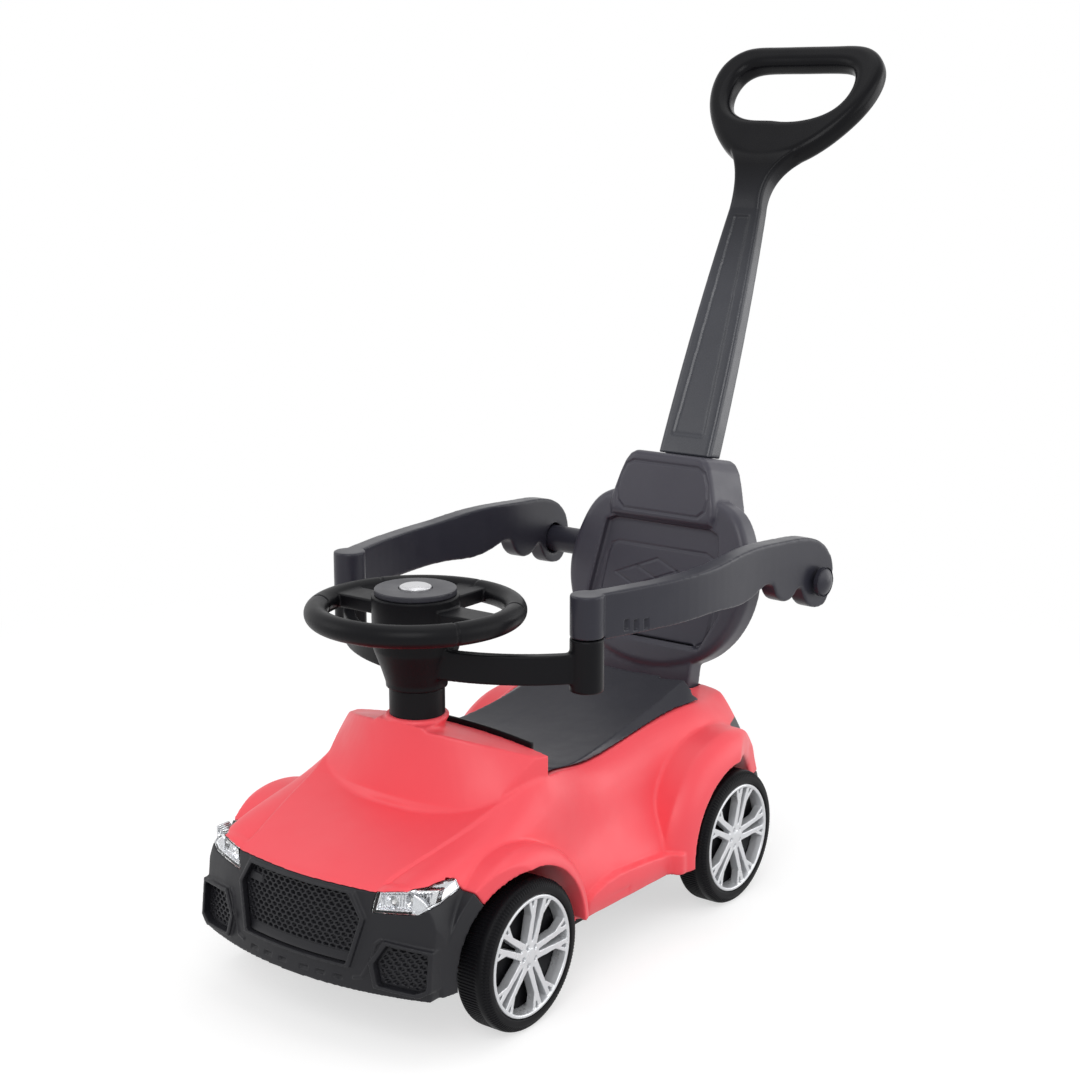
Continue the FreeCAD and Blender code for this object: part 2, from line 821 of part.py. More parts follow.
def hex_cells(points):
    """Six-sided holes through the nose inside an outline seen from the front, clear of its rim."""
    radius = V.mesh_pitch / math.sqrt(3) - V.mesh_rib / 2
    row_step = V.mesh_pitch * math.sqrt(3) / 2
    low = min(z for x, z in points)
    middle = (min(x for x, z in points) + max(x for x, z in points)) / 2
    columns = int((max(x for x, z in points) - middle) / V.mesh_pitch)
    rows = int((max(z for x, z in points) - low) / row_step)
    core = front_prism(grown(points, -V.frame_width), -far, front_axle)
    cells = []
    for row in range(1, rows):
        z = low + row * row_step
        shift = V.mesh_pitch / 2 if row % 2 else 0
        for column in range(-columns, columns + 1):
            x = middle + column * V.mesh_pitch + shift
            if not core.isInside(Vector(x, -V.body_front, z), V.part_gap, True):
                continue
            corners = [math.radians(60 * k + 30) for k in range(6)]
            cell = [(x + radius * math.cos(a), z + radius * math.sin(a)) for a in corners]
            cells.append(front_prism(cell, -far, front_axle))
    return cells


def mesh_sheet(points):
    """A mesh behind the skin of the bumper, bowed and leaned as the nose is."""
    sheet = nose_layer(V.wall + V.part_gap, V.grille_thickness).common(front_prism(points, -far, front_axle))
    return largest(sheet.cut(hex_cells(points)).cut([front_bumper, body_shell] + arch_cutters))


feature("front_grille", mesh_sheet(grown(grille_points, V.frame_width)))
left_intake = mesh_sheet(grown(intake_points, V.wall))
feature("left_intake_grille", left_intake)
feature("right_intake_grille", mirrored(left_intake))
left_tail_lamp = lamp_lens(tail_points, tail_lamp_front, far)
feature("left_tail_lamp", left_tail_lamp)
feature("right_tail_lamp", mirrored(left_tail_lamp))
feature("rear_bumper", hull.common(rear_bumper_region(0)))


# Wheels, drawn with the axle along local Z and the outer face up
def build_tyre(label, placement):
    body = new_body(label)
    profile = new_sketch(body, "XZ_Plane", label + "_profile")
    radius = S.tyre_diameter * HALF
    seat = radius - S.tread_depth
    bore = S.axle_diameter * HALF + S.running_gap
    web_top = S.tyre_width - S.rim_depth
    web_foot = web_top - S.wheel_web
    zero = as_size(0)
    outline(profile, [
        (bore, zero),
        (S.wheel_hub_radius, zero),
        (S.wheel_hub_radius, web_foot),
        (seat, web_foot),
        (seat, zero),
        (radius - S.tyre_shoulder, zero),
        (radius, S.tyre_shoulder),
        (radius, S.tyre_width - S.tyre_shoulder),
        (radius - S.tyre_shoulder, S.tyre_width),
        (seat, S.tyre_width),
        (seat, web_top),
        (bore, web_top),
    ])
    revolution(body, profile)
    body.Placement = placement


def build_rim(label, placement):
    body = new_body(label)
    radius = S.tyre_diameter * HALF - S.tread_depth - S.part_gap
    foot = S.tyre_width - S.rim_depth
    floor = foot + S.rim_spoke_thickness
    nut_room = S.nut_radius + S.moving_gap
    zero = as_size(0)
    profile = new_sketch(body, "XZ_Plane", label + "_profile")
    outline(profile, [
        (zero, S.tyre_width - S.rim_edge),
        (S.rim_hub_radius, S.tyre_width - S.rim_edge),
        (radius - S.rim_edge, S.tyre_width - S.rim_edge * HALF),
        (radius - S.rim_edge * HALF, S.tyre_width),
        (radius, S.tyre_width - S.rim_edge * HALF),
        (radius, foot),
        (radius - S.rim_edge, foot),
        (radius - S.rim_edge, S.tyre_width - S.rim_spoke_thickness),
        (S.rim_hub_radius, floor),
        (S.rim_hub_radius, foot),
        (nut_room, foot),
        (nut_room, foot + S.nut_thickness + S.moving_gap),
        (zero, foot + S.nut_thickness + S.moving_gap),
    ])
    revolution(body, profile)
    doc.recompute()
    # One wide window between spokes and one slot inside a double spoke, repeated around the wheel
    start = S.rim_hub_radius + S.rim_spoke_width * HALF
    end = radius - S.rim_edge - S.rim_edge * HALF
    lean = math.tan(math.pi / SPOKE_COUNT)
    windows = new_sketch(body, "XY_Plane", label + "_windows")
    outline(windows, [
        (start + S.rim_spoke_width, -(S.rim_spoke_width * WINDOW_FOOT_SHARE)),
        (end, -(end * (lean * WINDOW_END_SHARE))),
        (end, end * (lean * WINDOW_END_SHARE)),
        (start + S.rim_spoke_width, S.rim_spoke_width * WINDOW_FOOT_SHARE),
    ])
    window = pocket(body, windows, S.tyre_width * THROUGH)
    polar_pattern(body, window, SPOKE_COUNT)
    doc.recompute()
    slots = new_sketch(body, "XY_Plane", label + "_slots")
    outline(slots, [
        (-(start + S.rim_spoke_width), -(S.rim_spoke_width * SLOT_FOOT_SHARE)),
        (-end, -(S.rim_spoke_width * SLOT_END_SHARE)),
        (-end, S.rim_spoke_width * SLOT_END_SHARE),
        (-(start + S.rim_spoke_width), S.rim_spoke_width * SLOT_FOOT_SHARE),
    ])
    slot = pocket(body, slots, S.tyre_width * THROUGH)
    polar_pattern(body, slot, SPOKE_COUNT)
    body.Placement = placement


def wheel_place(side, axle_y):
    """Local Z turned outwards to one side, with the inner tyre face at its place on the axle."""
    return turned(Vector(side, 0, 0), Vector(side * tyre_inner, axle_y, axle_height))


for end_name, axle_y in (("front", front_axle), ("rear", rear_axle)):
    for side_name, side in (("left", 1), ("right", -1)):
        build_tyre(f"{end_name}_{side_name}_tyre", wheel_place(side, axle_y))
        build_rim(f"{end_name}_{side_name}_rim", wheel_place(side, axle_y))

# Rear axle with spacers and push nuts
axle_radius = S.axle_diameter * HALF
web_out = tyre_inner + V.tyre_width - V.rim_depth
axle_half = S.track_over_tyres * HALF - S.rim_depth + S.nut_thickness
finish(cylinder("rear_axle", axle_radius, axle_half * 2, Vector(-float(axle_half), rear_axle, axle_height), X_AXIS),
       "rear_axle")


def push_nut(name, side, axle_y):
    start = Vector(side * (web_out + V.part_gap), axle_y, axle_height)
    way = Vector(side, 0, 0)
    ring = cylinder(name + "_ring", S.nut_radius, S.nut_thickness, start, way)
    return cut(name, ring, [cylinder(name + "_bore", axle_radius, S.nut_thickness, start, way)])


def spacer(name, side):
    length = S.track_over_tyres * HALF - S.tyre_width - S.bridge_wall_half_track - S.saddle_width - S.moving_gap
    start = Vector(side * (V.bridge_wall_half_track + V.saddle_width), rear_axle, axle_height)
    way = Vector(side, 0, 0)
    ring = cylinder(name + "_ring", S.spacer_radius, length, start, way)
    return cut(name, ring, [cylinder(name + "_bore", axle_radius, length, start, way)])


finish(group("rear_axle_nuts", [push_nut(f"rear_nut_{side + 1}", side, rear_axle) for side in (1, -1)]),
       "rear_axle_nuts")
finish(group("rear_axle_spacers", [spacer(f"rear_spacer_{side + 1}", side) for side in (1, -1)]),
       "rear_axle_spacers")


# Chassis pan with its axle saddles
boss_lines = (seat_front * BOSS_ALONG_SHARE, V.seat_rear * BOSS_ALONG_SHARE)
tub_bosses = [(side * V.seat_half_width * BOSS_OUT_SHARE, y) for side in (1, -1) for y in boss_lines]


def build_chassis_pan():
    body = new_body("chassis_pan")
    sheet_outline = new_sketch(body, "XY_Plane", "pan_outline", S.sill_height - S.pan_thickness)
    arch_half = S.wheelbase * HALF - S.arch_radius - S.cut_overrun
    wide = S.body_width * HALF - S.wall
    narrow = S.pan_wheel_half_width
    nose = S.body_front - S.pan_nose_inset
    tail = S.body_rear - S.pan_nose_inset
    corner = narrow * PAN_CORNER_SHARE
    left = [
        (corner, -nose),
        (narrow, -(nose - S.nose_setback)),
        (narrow, -arch_half),
        (wide, -(arch_half - S.cut_overrun)),
        (wide, arch_half - S.cut_overrun),
        (narrow, arch_half),
        (narrow, tail - S.tail_setback),
        (corner, tail),
    ]
    outline(sheet_outline, left + [(-x, y) for x, y in reversed(left)])
    pad(body, sheet_outline, S.pan_thickness)
    doc.recompute()
    front_line = -(S.wheelbase * HALF)
    tongue_reach = S.kingpin_half_track + S.knuckle_radius
    tongues = new_sketch(body, "XY_Plane", "pan_tongues", S.sill_height - S.pan_thickness)
    for sign in (1, -1):
        outline(tongues, [
            (narrow * (PAN_TONGUE_SHARE * sign), front_line - S.bridge_half_length),
            (tongue_reach * sign, front_line - S.bridge_half_length),
            (tongue_reach * sign, front_line + S.bridge_half_length),
            (narrow * (PAN_TONGUE_SHARE * sign), front_line + S.bridge_half_length),
        ])
    pad(body, tongues, S.pan_thickness)
    doc.recompute()
    saddles = new_sketch(body, "XY_Plane", "pan_saddles", S.sill_height - S.pan_thickness)
    rear_line = S.wheelbase * HALF
    for sign in (1, -1):
        outline(saddles, [
            ((S.bridge_wall_half_track - S.saddle_width) * sign, rear_line - S.bridge_half_length),
            ((S.bridge_wall_half_track + S.saddle_width) * sign, rear_line - S.bridge_half_length),
            ((S.bridge_wall_half_track + S.saddle_width) * sign, rear_line + S.bridge_half_length),
            ((S.bridge_wall_half_track - S.saddle_width) * sign, rear_line + S.bridge_half_length),
        ])
    pad(body, saddles, S.tyre_diameter * HALF + S.axle_diameter - S.sill_height + S.pan_thickness)
    doc.recompute()
    axle_line = new_sketch(body, "YZ_Plane", "pan_axle_bore")
    circle(axle_line, rear_line, S.tyre_diameter * HALF, S.axle_diameter * HALF)
    pocket(body, axle_line, S.track_over_tyres)
    doc.recompute()
    holes = new_sketch(body, "XY_Plane", "pan_holes", S.sill_height)
    for sign in (1, -1):
        circle(holes, S.kingpin_half_track * sign, front_line, S.kingpin_diameter * HALF)
        circle(holes, S.foot_rest_pivot_out * sign, -S.foot_rest_pivot_front, S.screw_radius)
        for boss_y in (-(S.seat_front * BOSS_ALONG_SHARE), S.seat_rear * BOSS_ALONG_SHARE):
            circle(holes, S.seat_half_width * (BOSS_OUT_SHARE * sign), boss_y, S.screw_radius)
    pocket(body, holes, S.pan_thickness * THROUGH)


build_chassis_pan()


def screw(name, base, way, shank_radius, length):
    """A round-headed screw whose head touches the base point from outside and whose shank follows the way."""
    shank = cylinder(name + "_shank", shank_radius, length, base, way)
    head = cylinder(name + "_head", S.screw_head_radius, S.screw_head_height, base, -way)
    return fuse(name, [shank, head])


finish(group("chassis_screws", [screw(f"chassis_screw_{index}", Vector(x, y, pan_foot), Z_AXIS, S.screw_radius,
                                      S.screw_length) for index, (x, y) in enumerate(tub_bosses)]), "chassis_screws")

# Storage tub on its four bosses, with the ears of the seat hinge
tub_half = S.seat_half_width - S.tub_wall
tub_rear = S.seat_rear - S.seat_hinge_inset - S.hinge_ear
tub_length = S.seat_front + tub_rear - S.tub_wall
tub_front = seat_front + V.tub_wall
tub_height = S.seat_foot_height - S.moving_gap - S.tub_floor_height
hinge_y = V.seat_rear - V.seat_hinge_inset
hinge_z = V.seat_hinge_height


def build_storage_tub():
    outside = box("tub_outside", tub_half * 2, tub_length, tub_height,
                  Vector(-float(tub_half), tub_front, V.tub_floor_height))
    inside = box("tub_inside", (tub_half - S.tub_wall) * 2, tub_length - S.tub_wall * 2, tub_height,
                 Vector(-float(tub_half) + V.tub_wall, tub_front + V.tub_wall, V.tub_floor_height + V.tub_wall))
    hollow = cut("tub_hollow", outside, [inside])
    pieces = [hollow]
    ear_foot = V.tub_floor_height + float(tub_height) * EAR_FOOT_SHARE
    ear_depth = S.hinge_ear + S.tub_wall + S.hinge_pin_diameter * EAR_SHARE
    for side in (1, -1):
        out = V.seat_barrel_half + V.moving_gap
        corner_x = out if side > 0 else -out - V.hinge_ear
        corner = Vector(corner_x, float(tub_rear) - V.tub_wall, ear_foot)
        top = S.seat_hinge_height + S.hinge_pin_diameter * EAR_SHARE - ear_foot
        pieces.append(box(f"tub_ear_{side + 1}", S.hinge_ear, ear_depth, top, corner))
    for index, (x, y) in enumerate(tub_bosses):
        pieces.append(cylinder(f"tub_boss_{index}", S.screw_head_radius + S.tub_wall,
                               S.tub_floor_height - S.sill_height, Vector(x, y, pan_top)))
    whole = fuse("tub_whole", pieces)
    holes = [cylinder(f"tub_screw_hole_{index}", S.screw_radius, S.screw_length, Vector(x, y, pan_foot))
             for index, (x, y) in enumerate(tub_bosses)]
    pin_hole = cylinder("tub_pin_hole", S.hinge_pin_diameter * HALF, S.seat_half_width * 2,
                        Vector(-V.seat_half_width, hinge_y, hinge_z), X_AXIS)
    finish(cut("storage_tub", whole, holes + [pin_hole]), "storage_tub")


build_storage_tub()
pin_half = S.seat_barrel_half + S.moving_gap + S.hinge_ear
finish(cylinder("seat_hinge_pin", S.hinge_pin_diameter * HALF, pin_half * 2,
                Vector(-float(pin_half), hinge_y, hinge_z), X_AXIS), "seat_hinge_pin")


# Seat lid, a dished cap that follows the roof of the body and rises towards both ends
def lid_section(shares, inset, room):
    """One section of the lid at a body station, its edge above the body crease."""
    station, edge_out, edge_up, dish_up = shares
    along, crown, crease_out, crease_up = STATION_SHARES[station][:4]
    y = along * V.wheelbase / 2
    top = V.shoulder_height
    edge = (edge_out * half_width - inset, edge_up * top - inset)
    foot = (crease_out * half_width - V.lid_lap - inset, crease_up * top)
    side = [edge, foot, (foot[0], foot[1] - V.lid_drop)]
    if room:
        side = [edge, (edge[0], foot[1] - V.lid_drop)]
    left = [Vector(x, y, z) for x, z in side]
    right = [Vector(-x, y, z) for x, z in reversed(side)]
    dish = spline([right[-1], Vector(0, y, dish_up * top - inset), left[0]])
    rim = left + right
    return Part.Wire([dish] + [Part.LineSegment(a, b).toShape() for a, b in zip(rim, rim[1:])])


def build_seat_lid():
    lid = loft([lid_section(shares, 0, False) for shares in LID_SHARES])
    room = loft([lid_section(shares, V.wall, True) for shares in LID_SHARES])
    front = seat_front + V.moving_gap
    rear = hinge_y + V.hinge_pin_diameter
    inner = V.seat_half_width - V.wall
    room = room.common(solid_box((-inner, front + V.wall, 0), (inner, rear - V.seat_hinge_inset * 2, far)))
    roof = hull_outer.copy()
    roof.translate(Vector(0, 0, V.moving_gap))
    lid = lid.common(solid_box((-far, front, 0), (far, rear, far))).cut([roof, room])
    ear_out = V.seat_barrel_half + V.hinge_ear + V.moving_gap * 2
    ear_top = hinge_z + V.hinge_pin_diameter * EAR_ROOM_SHARE
    ear_front = float(tub_rear) - V.tub_wall - V.moving_gap * 2
    notch = solid_box((V.seat_barrel_half, ear_front, 0), (ear_out, far, ear_top))
    corner = solid_box((V.seat_barrel_half, hinge_y, 0), (far, far, far))
    bore = Part.makeCylinder(V.hinge_pin_diameter / 2 + V.running_gap, far, Vector(-far / 2, hinge_y, hinge_z), X_AXIS)
    return largest(lid.cut([both_sides(notch), both_sides(corner), bore]))


feature("seat_lid", build_seat_lid())

# Foot rests folded away under the sills
rest_top = pan_foot - V.moving_gap
rest_foot = rest_top - V.foot_rest_thickness


def build_foot_rest(label, side):
    pivot = Vector(side * V.foot_rest_pivot_out, -V.foot_rest_pivot_front, rest_foot)
    half = S.foot_rest_width * HALF
    plate_length = S.foot_rest_length - half
    plate = box(label + "_plate", S.foot_rest_width, plate_length, S.foot_rest_thickness,
                pivot - Vector(float(half), 0, 0))
    end = cylinder(label + "_end", half, S.foot_rest_thickness, pivot + Vector(0, float(plate_length), 0))
    boss = cylinder(label + "_boss", half, S.foot_rest_thickness, pivot)
    hole = cylinder(label + "_hole", S.screw_radius + S.running_gap, S.foot_rest_thickness, pivot)
    finish(cut(label, fuse(label + "_whole", [plate, end, boss]), [hole]), label)


build_foot_rest("left_foot_rest", 1)
build_foot_rest("right_foot_rest", -1)
rest_screw_length = S.foot_rest_thickness + S.moving_gap * 2 + S.pan_thickness
finish(group("foot_rest_screws", [
    screw(f"foot_rest_screw_{side + 1}", Vector(side * V.foot_rest_pivot_out, -V.foot_rest_pivot_front,
                                                rest_foot - V.moving_gap), Z_AXIS, S.screw_radius, rest_screw_length)
    for side in (1, -1)]), "foot_rest_screws")


# Steering bridge over the kingpins, with the lower bearing of the steering rod
crank_y = column_y + V.crank_length
crank_top = V.bridge_height - V.bridge_thickness - V.moving_gap
crank_foot = crank_top - V.crank_thickness


def build_steering_bridge():
    reach = S.kingpin_half_track + S.knuckle_radius
    plate_foot = V.bridge_height - V.bridge_thickness
    plate = box("bridge_plate", reach * 2, S.bridge_half_length * 2, S.bridge_thickness,
                Vector(-float(reach), front_axle - V.bridge_half_length, plate_foot))
    span = S.wheelbase * HALF - S.column_setback + S.rod_diameter
    tongue = box("bridge_tongue", S.bridge_wall_half_track, span, S.bridge_thickness,
                 Vector(-V.bridge_wall_half_track / 2, front_axle, plate_foot))
    pieces = [plate, tongue]
    for side in (1, -1):
        low = V.bridge_wall_half_track - V.bridge_thickness if side > 0 else -V.bridge_wall_half_track
        pieces.append(box(f"bridge_wall_{side + 1}", S.bridge_thickness, S.bridge_half_length * 2,
                          S.bridge_height - S.sill_height, Vector(low, front_axle - V.bridge_half_length, pan_top)))
    deep = S.bridge_height * 2
    holes = [cylinder("bridge_rod_hole", S.rod_diameter * HALF + S.running_gap, deep, Vector(0, column_y, 0))]
    for side in (1, -1):
        holes.append(cylinder(f"bridge_pin_hole_{side + 1}", S.kingpin_diameter * HALF, deep,
                              Vector(side * V.kingpin_half_track, front_axle, 0)))
    finish(cut("steering_bridge", fuse("bridge_whole", pieces), holes), "steering_bridge")


build_steering_bridge()
kingpin_length = S.bridge_height - S.sill_height + S.pan_thickness
finish(group("kingpins", [cylinder(f"kingpin_{side + 1}", S.kingpin_diameter * HALF, kingpin_length,
                                   Vector(side * V.kingpin_half_track, front_axle, pan_foot))
                          for side in (1, -1)]), "kingpins")


def build_knuckle(label, side):
    pin = Vector(side * V.kingpin_half_track, front_axle, 0)
    foot = pan_top + V.moving_gap
    height = S.bridge_height - S.bridge_thickness - S.sill_height - S.moving_gap * 2
    way = Vector(side, 0, 0)
    boss_radius = S.tyre_diameter * HALF - S.sill_height - S.moving_gap
    boss_length = S.track_over_tyres * HALF - S.tyre_width - S.kingpin_half_track - S.moving_gap
    arm_top = V.tie_rod_height - V.moving_gap
    arm_height = S.tie_rod_thickness
    barrel = cylinder(label + "_barrel", S.knuckle_radius, height, pin + Vector(0, 0, foot))
    boss = cylinder(label + "_boss", boss_radius, boss_length, pin + Vector(0, 0, axle_height), way)
    arm = box(label + "_arm", S.tie_rod_half_width * 2, S.knuckle_arm, arm_height,
              pin + Vector(-V.tie_rod_half_width, 0, arm_top - V.tie_rod_thickness))
    eye = cylinder(label + "_eye", S.tie_rod_half_width, arm_height,
                   pin + Vector(0, V.knuckle_arm, arm_top - V.tie_rod_thickness))
    stud = cylinder(label + "_stud", S.kingpin_diameter * HALF, S.tie_rod_thickness * 2 + S.moving_gap * 2,
                    pin + Vector(0, V.knuckle_arm, arm_top - V.tie_rod_thickness))
    bore = cylinder(label + "_bore", S.kingpin_diameter * HALF + S.running_gap, S.bridge_height,
                    pin + Vector(0, 0, pan_foot))
    axle_start = V.kingpin_diameter
    axle_hole = cylinder(label + "_axle_hole", S.axle_diameter * HALF, boss_length,
                         pin + Vector(side * axle_start, 0, axle_height), way)
    finish(cut(label, fuse(label + "_whole", [barrel, boss, arm, eye, stud]), [bore, axle_hole]), label)


def build_stub_axle(label, side):
    start = Vector(side * (V.kingpin_half_track + V.kingpin_diameter), front_axle, axle_height)
    length = axle_half - S.kingpin_half_track - S.kingpin_diameter
    finish(cylinder(label, S.axle_diameter * HALF, length, start, Vector(side, 0, 0)), label)


for side_name, side in (("left", 1), ("right", -1)):
    build_knuckle(f"{side_name}_knuckle", side)
    build_stub_axle(f"{side_name}_stub_axle", side)
    finish(push_nut(f"{side_name}_axle_nut", side, front_axle), f"{side_name}_axle_nut")


# Tie rod, joined to both knuckles and moved by the crank pin in its slot
def build_tie_rod():
    body = new_body("tie_rod")
    plate = new_sketch(body, "XY_Plane", "tie_rod_plate", S.tie_rod_height)
    line = S.knuckle_arm - S.wheelbase * HALF
    crank_line = S.crank_length - S.column_setback
    half = S.tie_rod_half_width
    reach = S.kingpin_half_track + half
    tab = S.crank_length * TIE_TAB_SHARE
    outline(plate, [
        (-reach, line - half),
        (reach, line - half),
        (reach, line + half),
        (tab, line + half),
        (tab, crank_line + tab),
        (-tab, crank_line + tab),
        (-tab, line + half),
        (-reach, line + half),
    ])
    pad(body, plate, S.tie_rod_thickness)
    doc.recompute()
    holes = new_sketch(body, "XY_Plane", "tie_rod_holes", S.tie_rod_height)
    for sign in (1, -1):
        circle(holes, S.kingpin_half_track * sign, line, S.kingpin_diameter * HALF + S.running_gap)
    wide = S.kingpin_diameter * HALF + S.moving_gap
    outline(holes, [
        (-wide, crank_line - wide - S.moving_gap),
        (wide, crank_line - wide - S.moving_gap),
        (wide, crank_line + wide + S.moving_gap),
        (-wide, crank_line + wide + S.moving_gap),
    ])
    pocket(body, holes, S.tie_rod_thickness * THROUGH)


build_tie_rod()


# Steering rod with its crank
def build_steering_rod():
    rod_top = S.hub_foot_height + (S.hub_top_height - S.hub_foot_height) * SOCKET_SHARE
    rod = cylinder("rod_bar", S.rod_diameter * HALF, rod_top - crank_foot, Vector(0, column_y, crank_foot))
    arm = box("rod_crank", S.rod_diameter, S.crank_length, S.crank_thickness,
              Vector(-V.rod_diameter / 2, column_y, crank_foot))
    eye = cylinder("rod_eye", S.rod_diameter * HALF, S.crank_thickness, Vector(0, crank_y, crank_foot))
    stud_foot = V.tie_rod_height - V.moving_gap
    stud_length = as_size(crank_top - stud_foot)
    stud = cylinder("rod_stud", S.kingpin_diameter * HALF, stud_length, Vector(0, crank_y, stud_foot))
    finish(fuse("steering_rod", [rod, arm, eye, stud]), "steering_rod")


build_steering_rod()


# Column sleeve on the pedestal
def build_column_sleeve():
    height = S.column_top - S.pedestal_height
    outside = cylinder("sleeve_outside", S.column_radius, height, Vector(0, column_y, V.pedestal_height))
    inside = cylinder("sleeve_inside", S.column_radius - S.wall, height - S.wall,
                      Vector(0, column_y, V.pedestal_height))
    bore = cylinder("sleeve_bore", S.rod_diameter * HALF + S.running_gap, height,
                    Vector(0, column_y, V.pedestal_height))
    finish(cut("column_sleeve", outside, [inside, bore]), "column_sleeve")


build_column_sleeve()

# Steering wheel with its hub
well_radius = S.hub_radius - S.wall * 2
well_foot = S.hub_foot_height + (S.hub_top_height - S.hub_foot_height) * WELL_SHARE


def build_steering_wheel():
    hub_centre = Vector(0, column_y, 0)
    ring = doc.addObject("Part::Torus", "wheel_ring")
    ring.setExpression("Radius1", ((S.steering_wheel_diameter - S.rim_tube_diameter) * HALF).text)
    ring.setExpression("Radius2", (S.rim_tube_diameter * HALF).text)
    ring.Placement = Placement(hub_centre + Vector(0, 0, V.wheel_height), Rotation())
    hub = cylinder("wheel_hub", S.hub_radius, S.hub_top_height - S.hub_foot_height,
                   hub_centre + Vector(0, 0, V.hub_foot_height))
    reach = (S.steering_wheel_diameter - S.rim_tube_diameter) * HALF
    spoke_foot = V.wheel_height - V.spoke_height / 2
    cross = box("wheel_cross_spoke", reach * 2, S.spoke_width, S.spoke_height,
                Vector(-float(reach), column_y - V.spoke_width / 2, spoke_foot))
    lower = box("wheel_lower_spoke", S.spoke_width, reach, S.spoke_height,
                Vector(-V.spoke_width / 2, column_y, spoke_foot))
    well = cylinder("wheel_well", well_radius, S.hub_top_height - well_foot,
                    hub_centre + Vector(0, 0, float(well_foot)))
    rod_depth = (S.hub_top_height - S.hub_foot_height) * SOCKET_SHARE
    socket = cylinder("wheel_socket", S.rod_diameter * HALF, rod_depth, hub_centre + Vector(0, 0, V.hub_foot_height))
    finish(cut("steering_wheel", fuse("wheel_whole", [ring, hub, cross, lower]), [well, socket]), "steering_wheel")


build_steering_wheel()
cover_radius = S.hub_radius - S.wall


def build_hub_cover():
    base = Vector(0, column_y, V.hub_top_height)
    disc = cylinder("cover_disc", cover_radius, S.hub_cover_thickness, base)
    hole = cylinder("cover_hole", S.horn_radius + S.moving_gap, S.hub_cover_thickness, base)
    finish(cut("hub_cover", disc, [hole]), "hub_cover")


build_hub_cover()
module_top = V.hub_top_height - V.horn_travel * 2 - V.moving_gap


def build_horn_button():
    body = new_body("horn_button")
    profile = new_sketch(body, "XZ_Plane", "horn_profile")
    zero = as_size(0)
    flange_top = S.hub_top_height - S.moving_gap
    flange_foot = flange_top - S.horn_travel * HALF
    top = S.hub_top_height + S.hub_cover_thickness + S.horn_rise
    flange = S.horn_radius + S.wall
    outline(profile, [
        (zero, flange_foot),
        (flange, flange_foot),
        (flange, flange_top),
        (S.horn_radius, flange_top),
        (S.horn_radius, top - S.horn_rise * HALF),
        (S.horn_radius - S.horn_rise, top),
        (zero, top),
    ])
    revolution(body, profile)
    body.Placement = Placement(Vector(0, column_y, 0), Rotation())


build_horn_button()
module_height = as_size(module_top) - well_foot
finish(box("sound_module", S.hub_radius, S.hub_radius * HALF, module_height,
           Vector(-V.hub_radius / 2, column_y - V.hub_radius * MODULE_SHARE, float(well_foot))), "sound_module")
cell_radius = module_height * CELL_SHARE
finish(group("battery_cells", [
    cylinder(f"battery_cell_{index}", cell_radius, S.hub_radius,
             Vector(-V.hub_radius / 2, column_y + float(cell_radius) * share,
                    float(well_foot) + float(cell_radius)), X_AXIS)
    for index, share in enumerate(CELL_PLACE_SHARES)]), "battery_cells")


# Backrest, drawn upright with its front face on the XZ plane, then leaned back
def symmetric(shares, inset):
    """A closed outline from points on its left half, moved inwards by an inset."""
    points = [(x * V.back_half_width - inset, z * V.back_height) for x, z in shares]
    middle = sum(z for x, z in points) / len(points)
    shrunk = [(x, z + inset if z < middle else z - inset) for x, z in points]
    return shrunk + [(-x, z) for x, z in reversed(shrunk)]


def smooth_block(points, start, end):
    wire = closed_spline([Vector(x, start, z) for x, z in points])
    return Part.Face(wire).extrude(Vector(0, end - start, 0))


def straight_block(points, start, end):
    return prism([Vector(x, start, z) for x, z in points], Vector(0, end - start, 0))


def rounded_front(block, front, radius):
    def in_front(edge):
        return abs(edge.BoundBox.YMin - front) + abs(edge.BoundBox.YMax - front) < V.part_gap

    return block.makeFillet(radius, [edge for edge in block.Edges if in_front(edge)])


shaft_foot = Vector(0, V.handle_front, V.handle_foot_height)


def handle_channel(gap, length):
    """The straight tongue of the handle, with a gap around it, reaching up into the shaft."""
    half = V.tongue_width / 2 + gap
    start = (V.shaft_base_depth - V.tongue_depth) / 2 - gap
    block = solid_box((-half, start, -length), (half, start + V.tongue_depth + gap * 2, V.shaft_tuck))
    return leaned(block, V.handle_lean, shaft_foot)


def cross_tube_space(gap):
    start = Vector(-far / 2, V.cross_tube_behind, V.cross_tube_height)
    return Part.makeCylinder(V.cross_tube_radius + gap, far, start, X_AXIS)


def build_backrest():
    depth = V.back_depth
    deep = V.headrest_depth
    bolster = rounded_front(smooth_block(symmetric(BACK_OUTLINE_SHARES, 0), 0, depth), 0, V.back_round)
    headrest = rounded_front(straight_block(symmetric(HEADREST_OUTLINE_SHARES, 0), -V.headrest_raise, deep),
                             -V.headrest_raise, V.headrest_raise)
    lumbar = straight_block(symmetric(LUMBAR_OUTLINE_SHARES, 0), 0, V.lumbar_recess)
    floor = V.lumbar_recess + V.back_wall
    hollow = smooth_block(symmetric(BACK_OUTLINE_SHARES, V.back_wall), floor, depth)
    head_hollow = straight_block(symmetric(HEADREST_OUTLINE_SHARES, V.back_wall), floor, deep - V.back_wall)
    shell = leaned(bolster.fuse(headrest).cut([lumbar, hollow, head_hollow]), V.back_lean, back_foot)
    shell = shell.fuse(backrest_neck(0)).cut(backrest_neck(-V.back_wall))
    block = leaned(headrest, V.back_lean, back_foot)
    sleeve = handle_channel(V.back_wall, V.tongue_length).common(block)
    shell = shell.fuse(sleeve).cut([handle_channel(V.part_gap, V.tongue_length), cross_tube_space(V.part_gap)])
    return shell


feature("backrest", build_backrest())


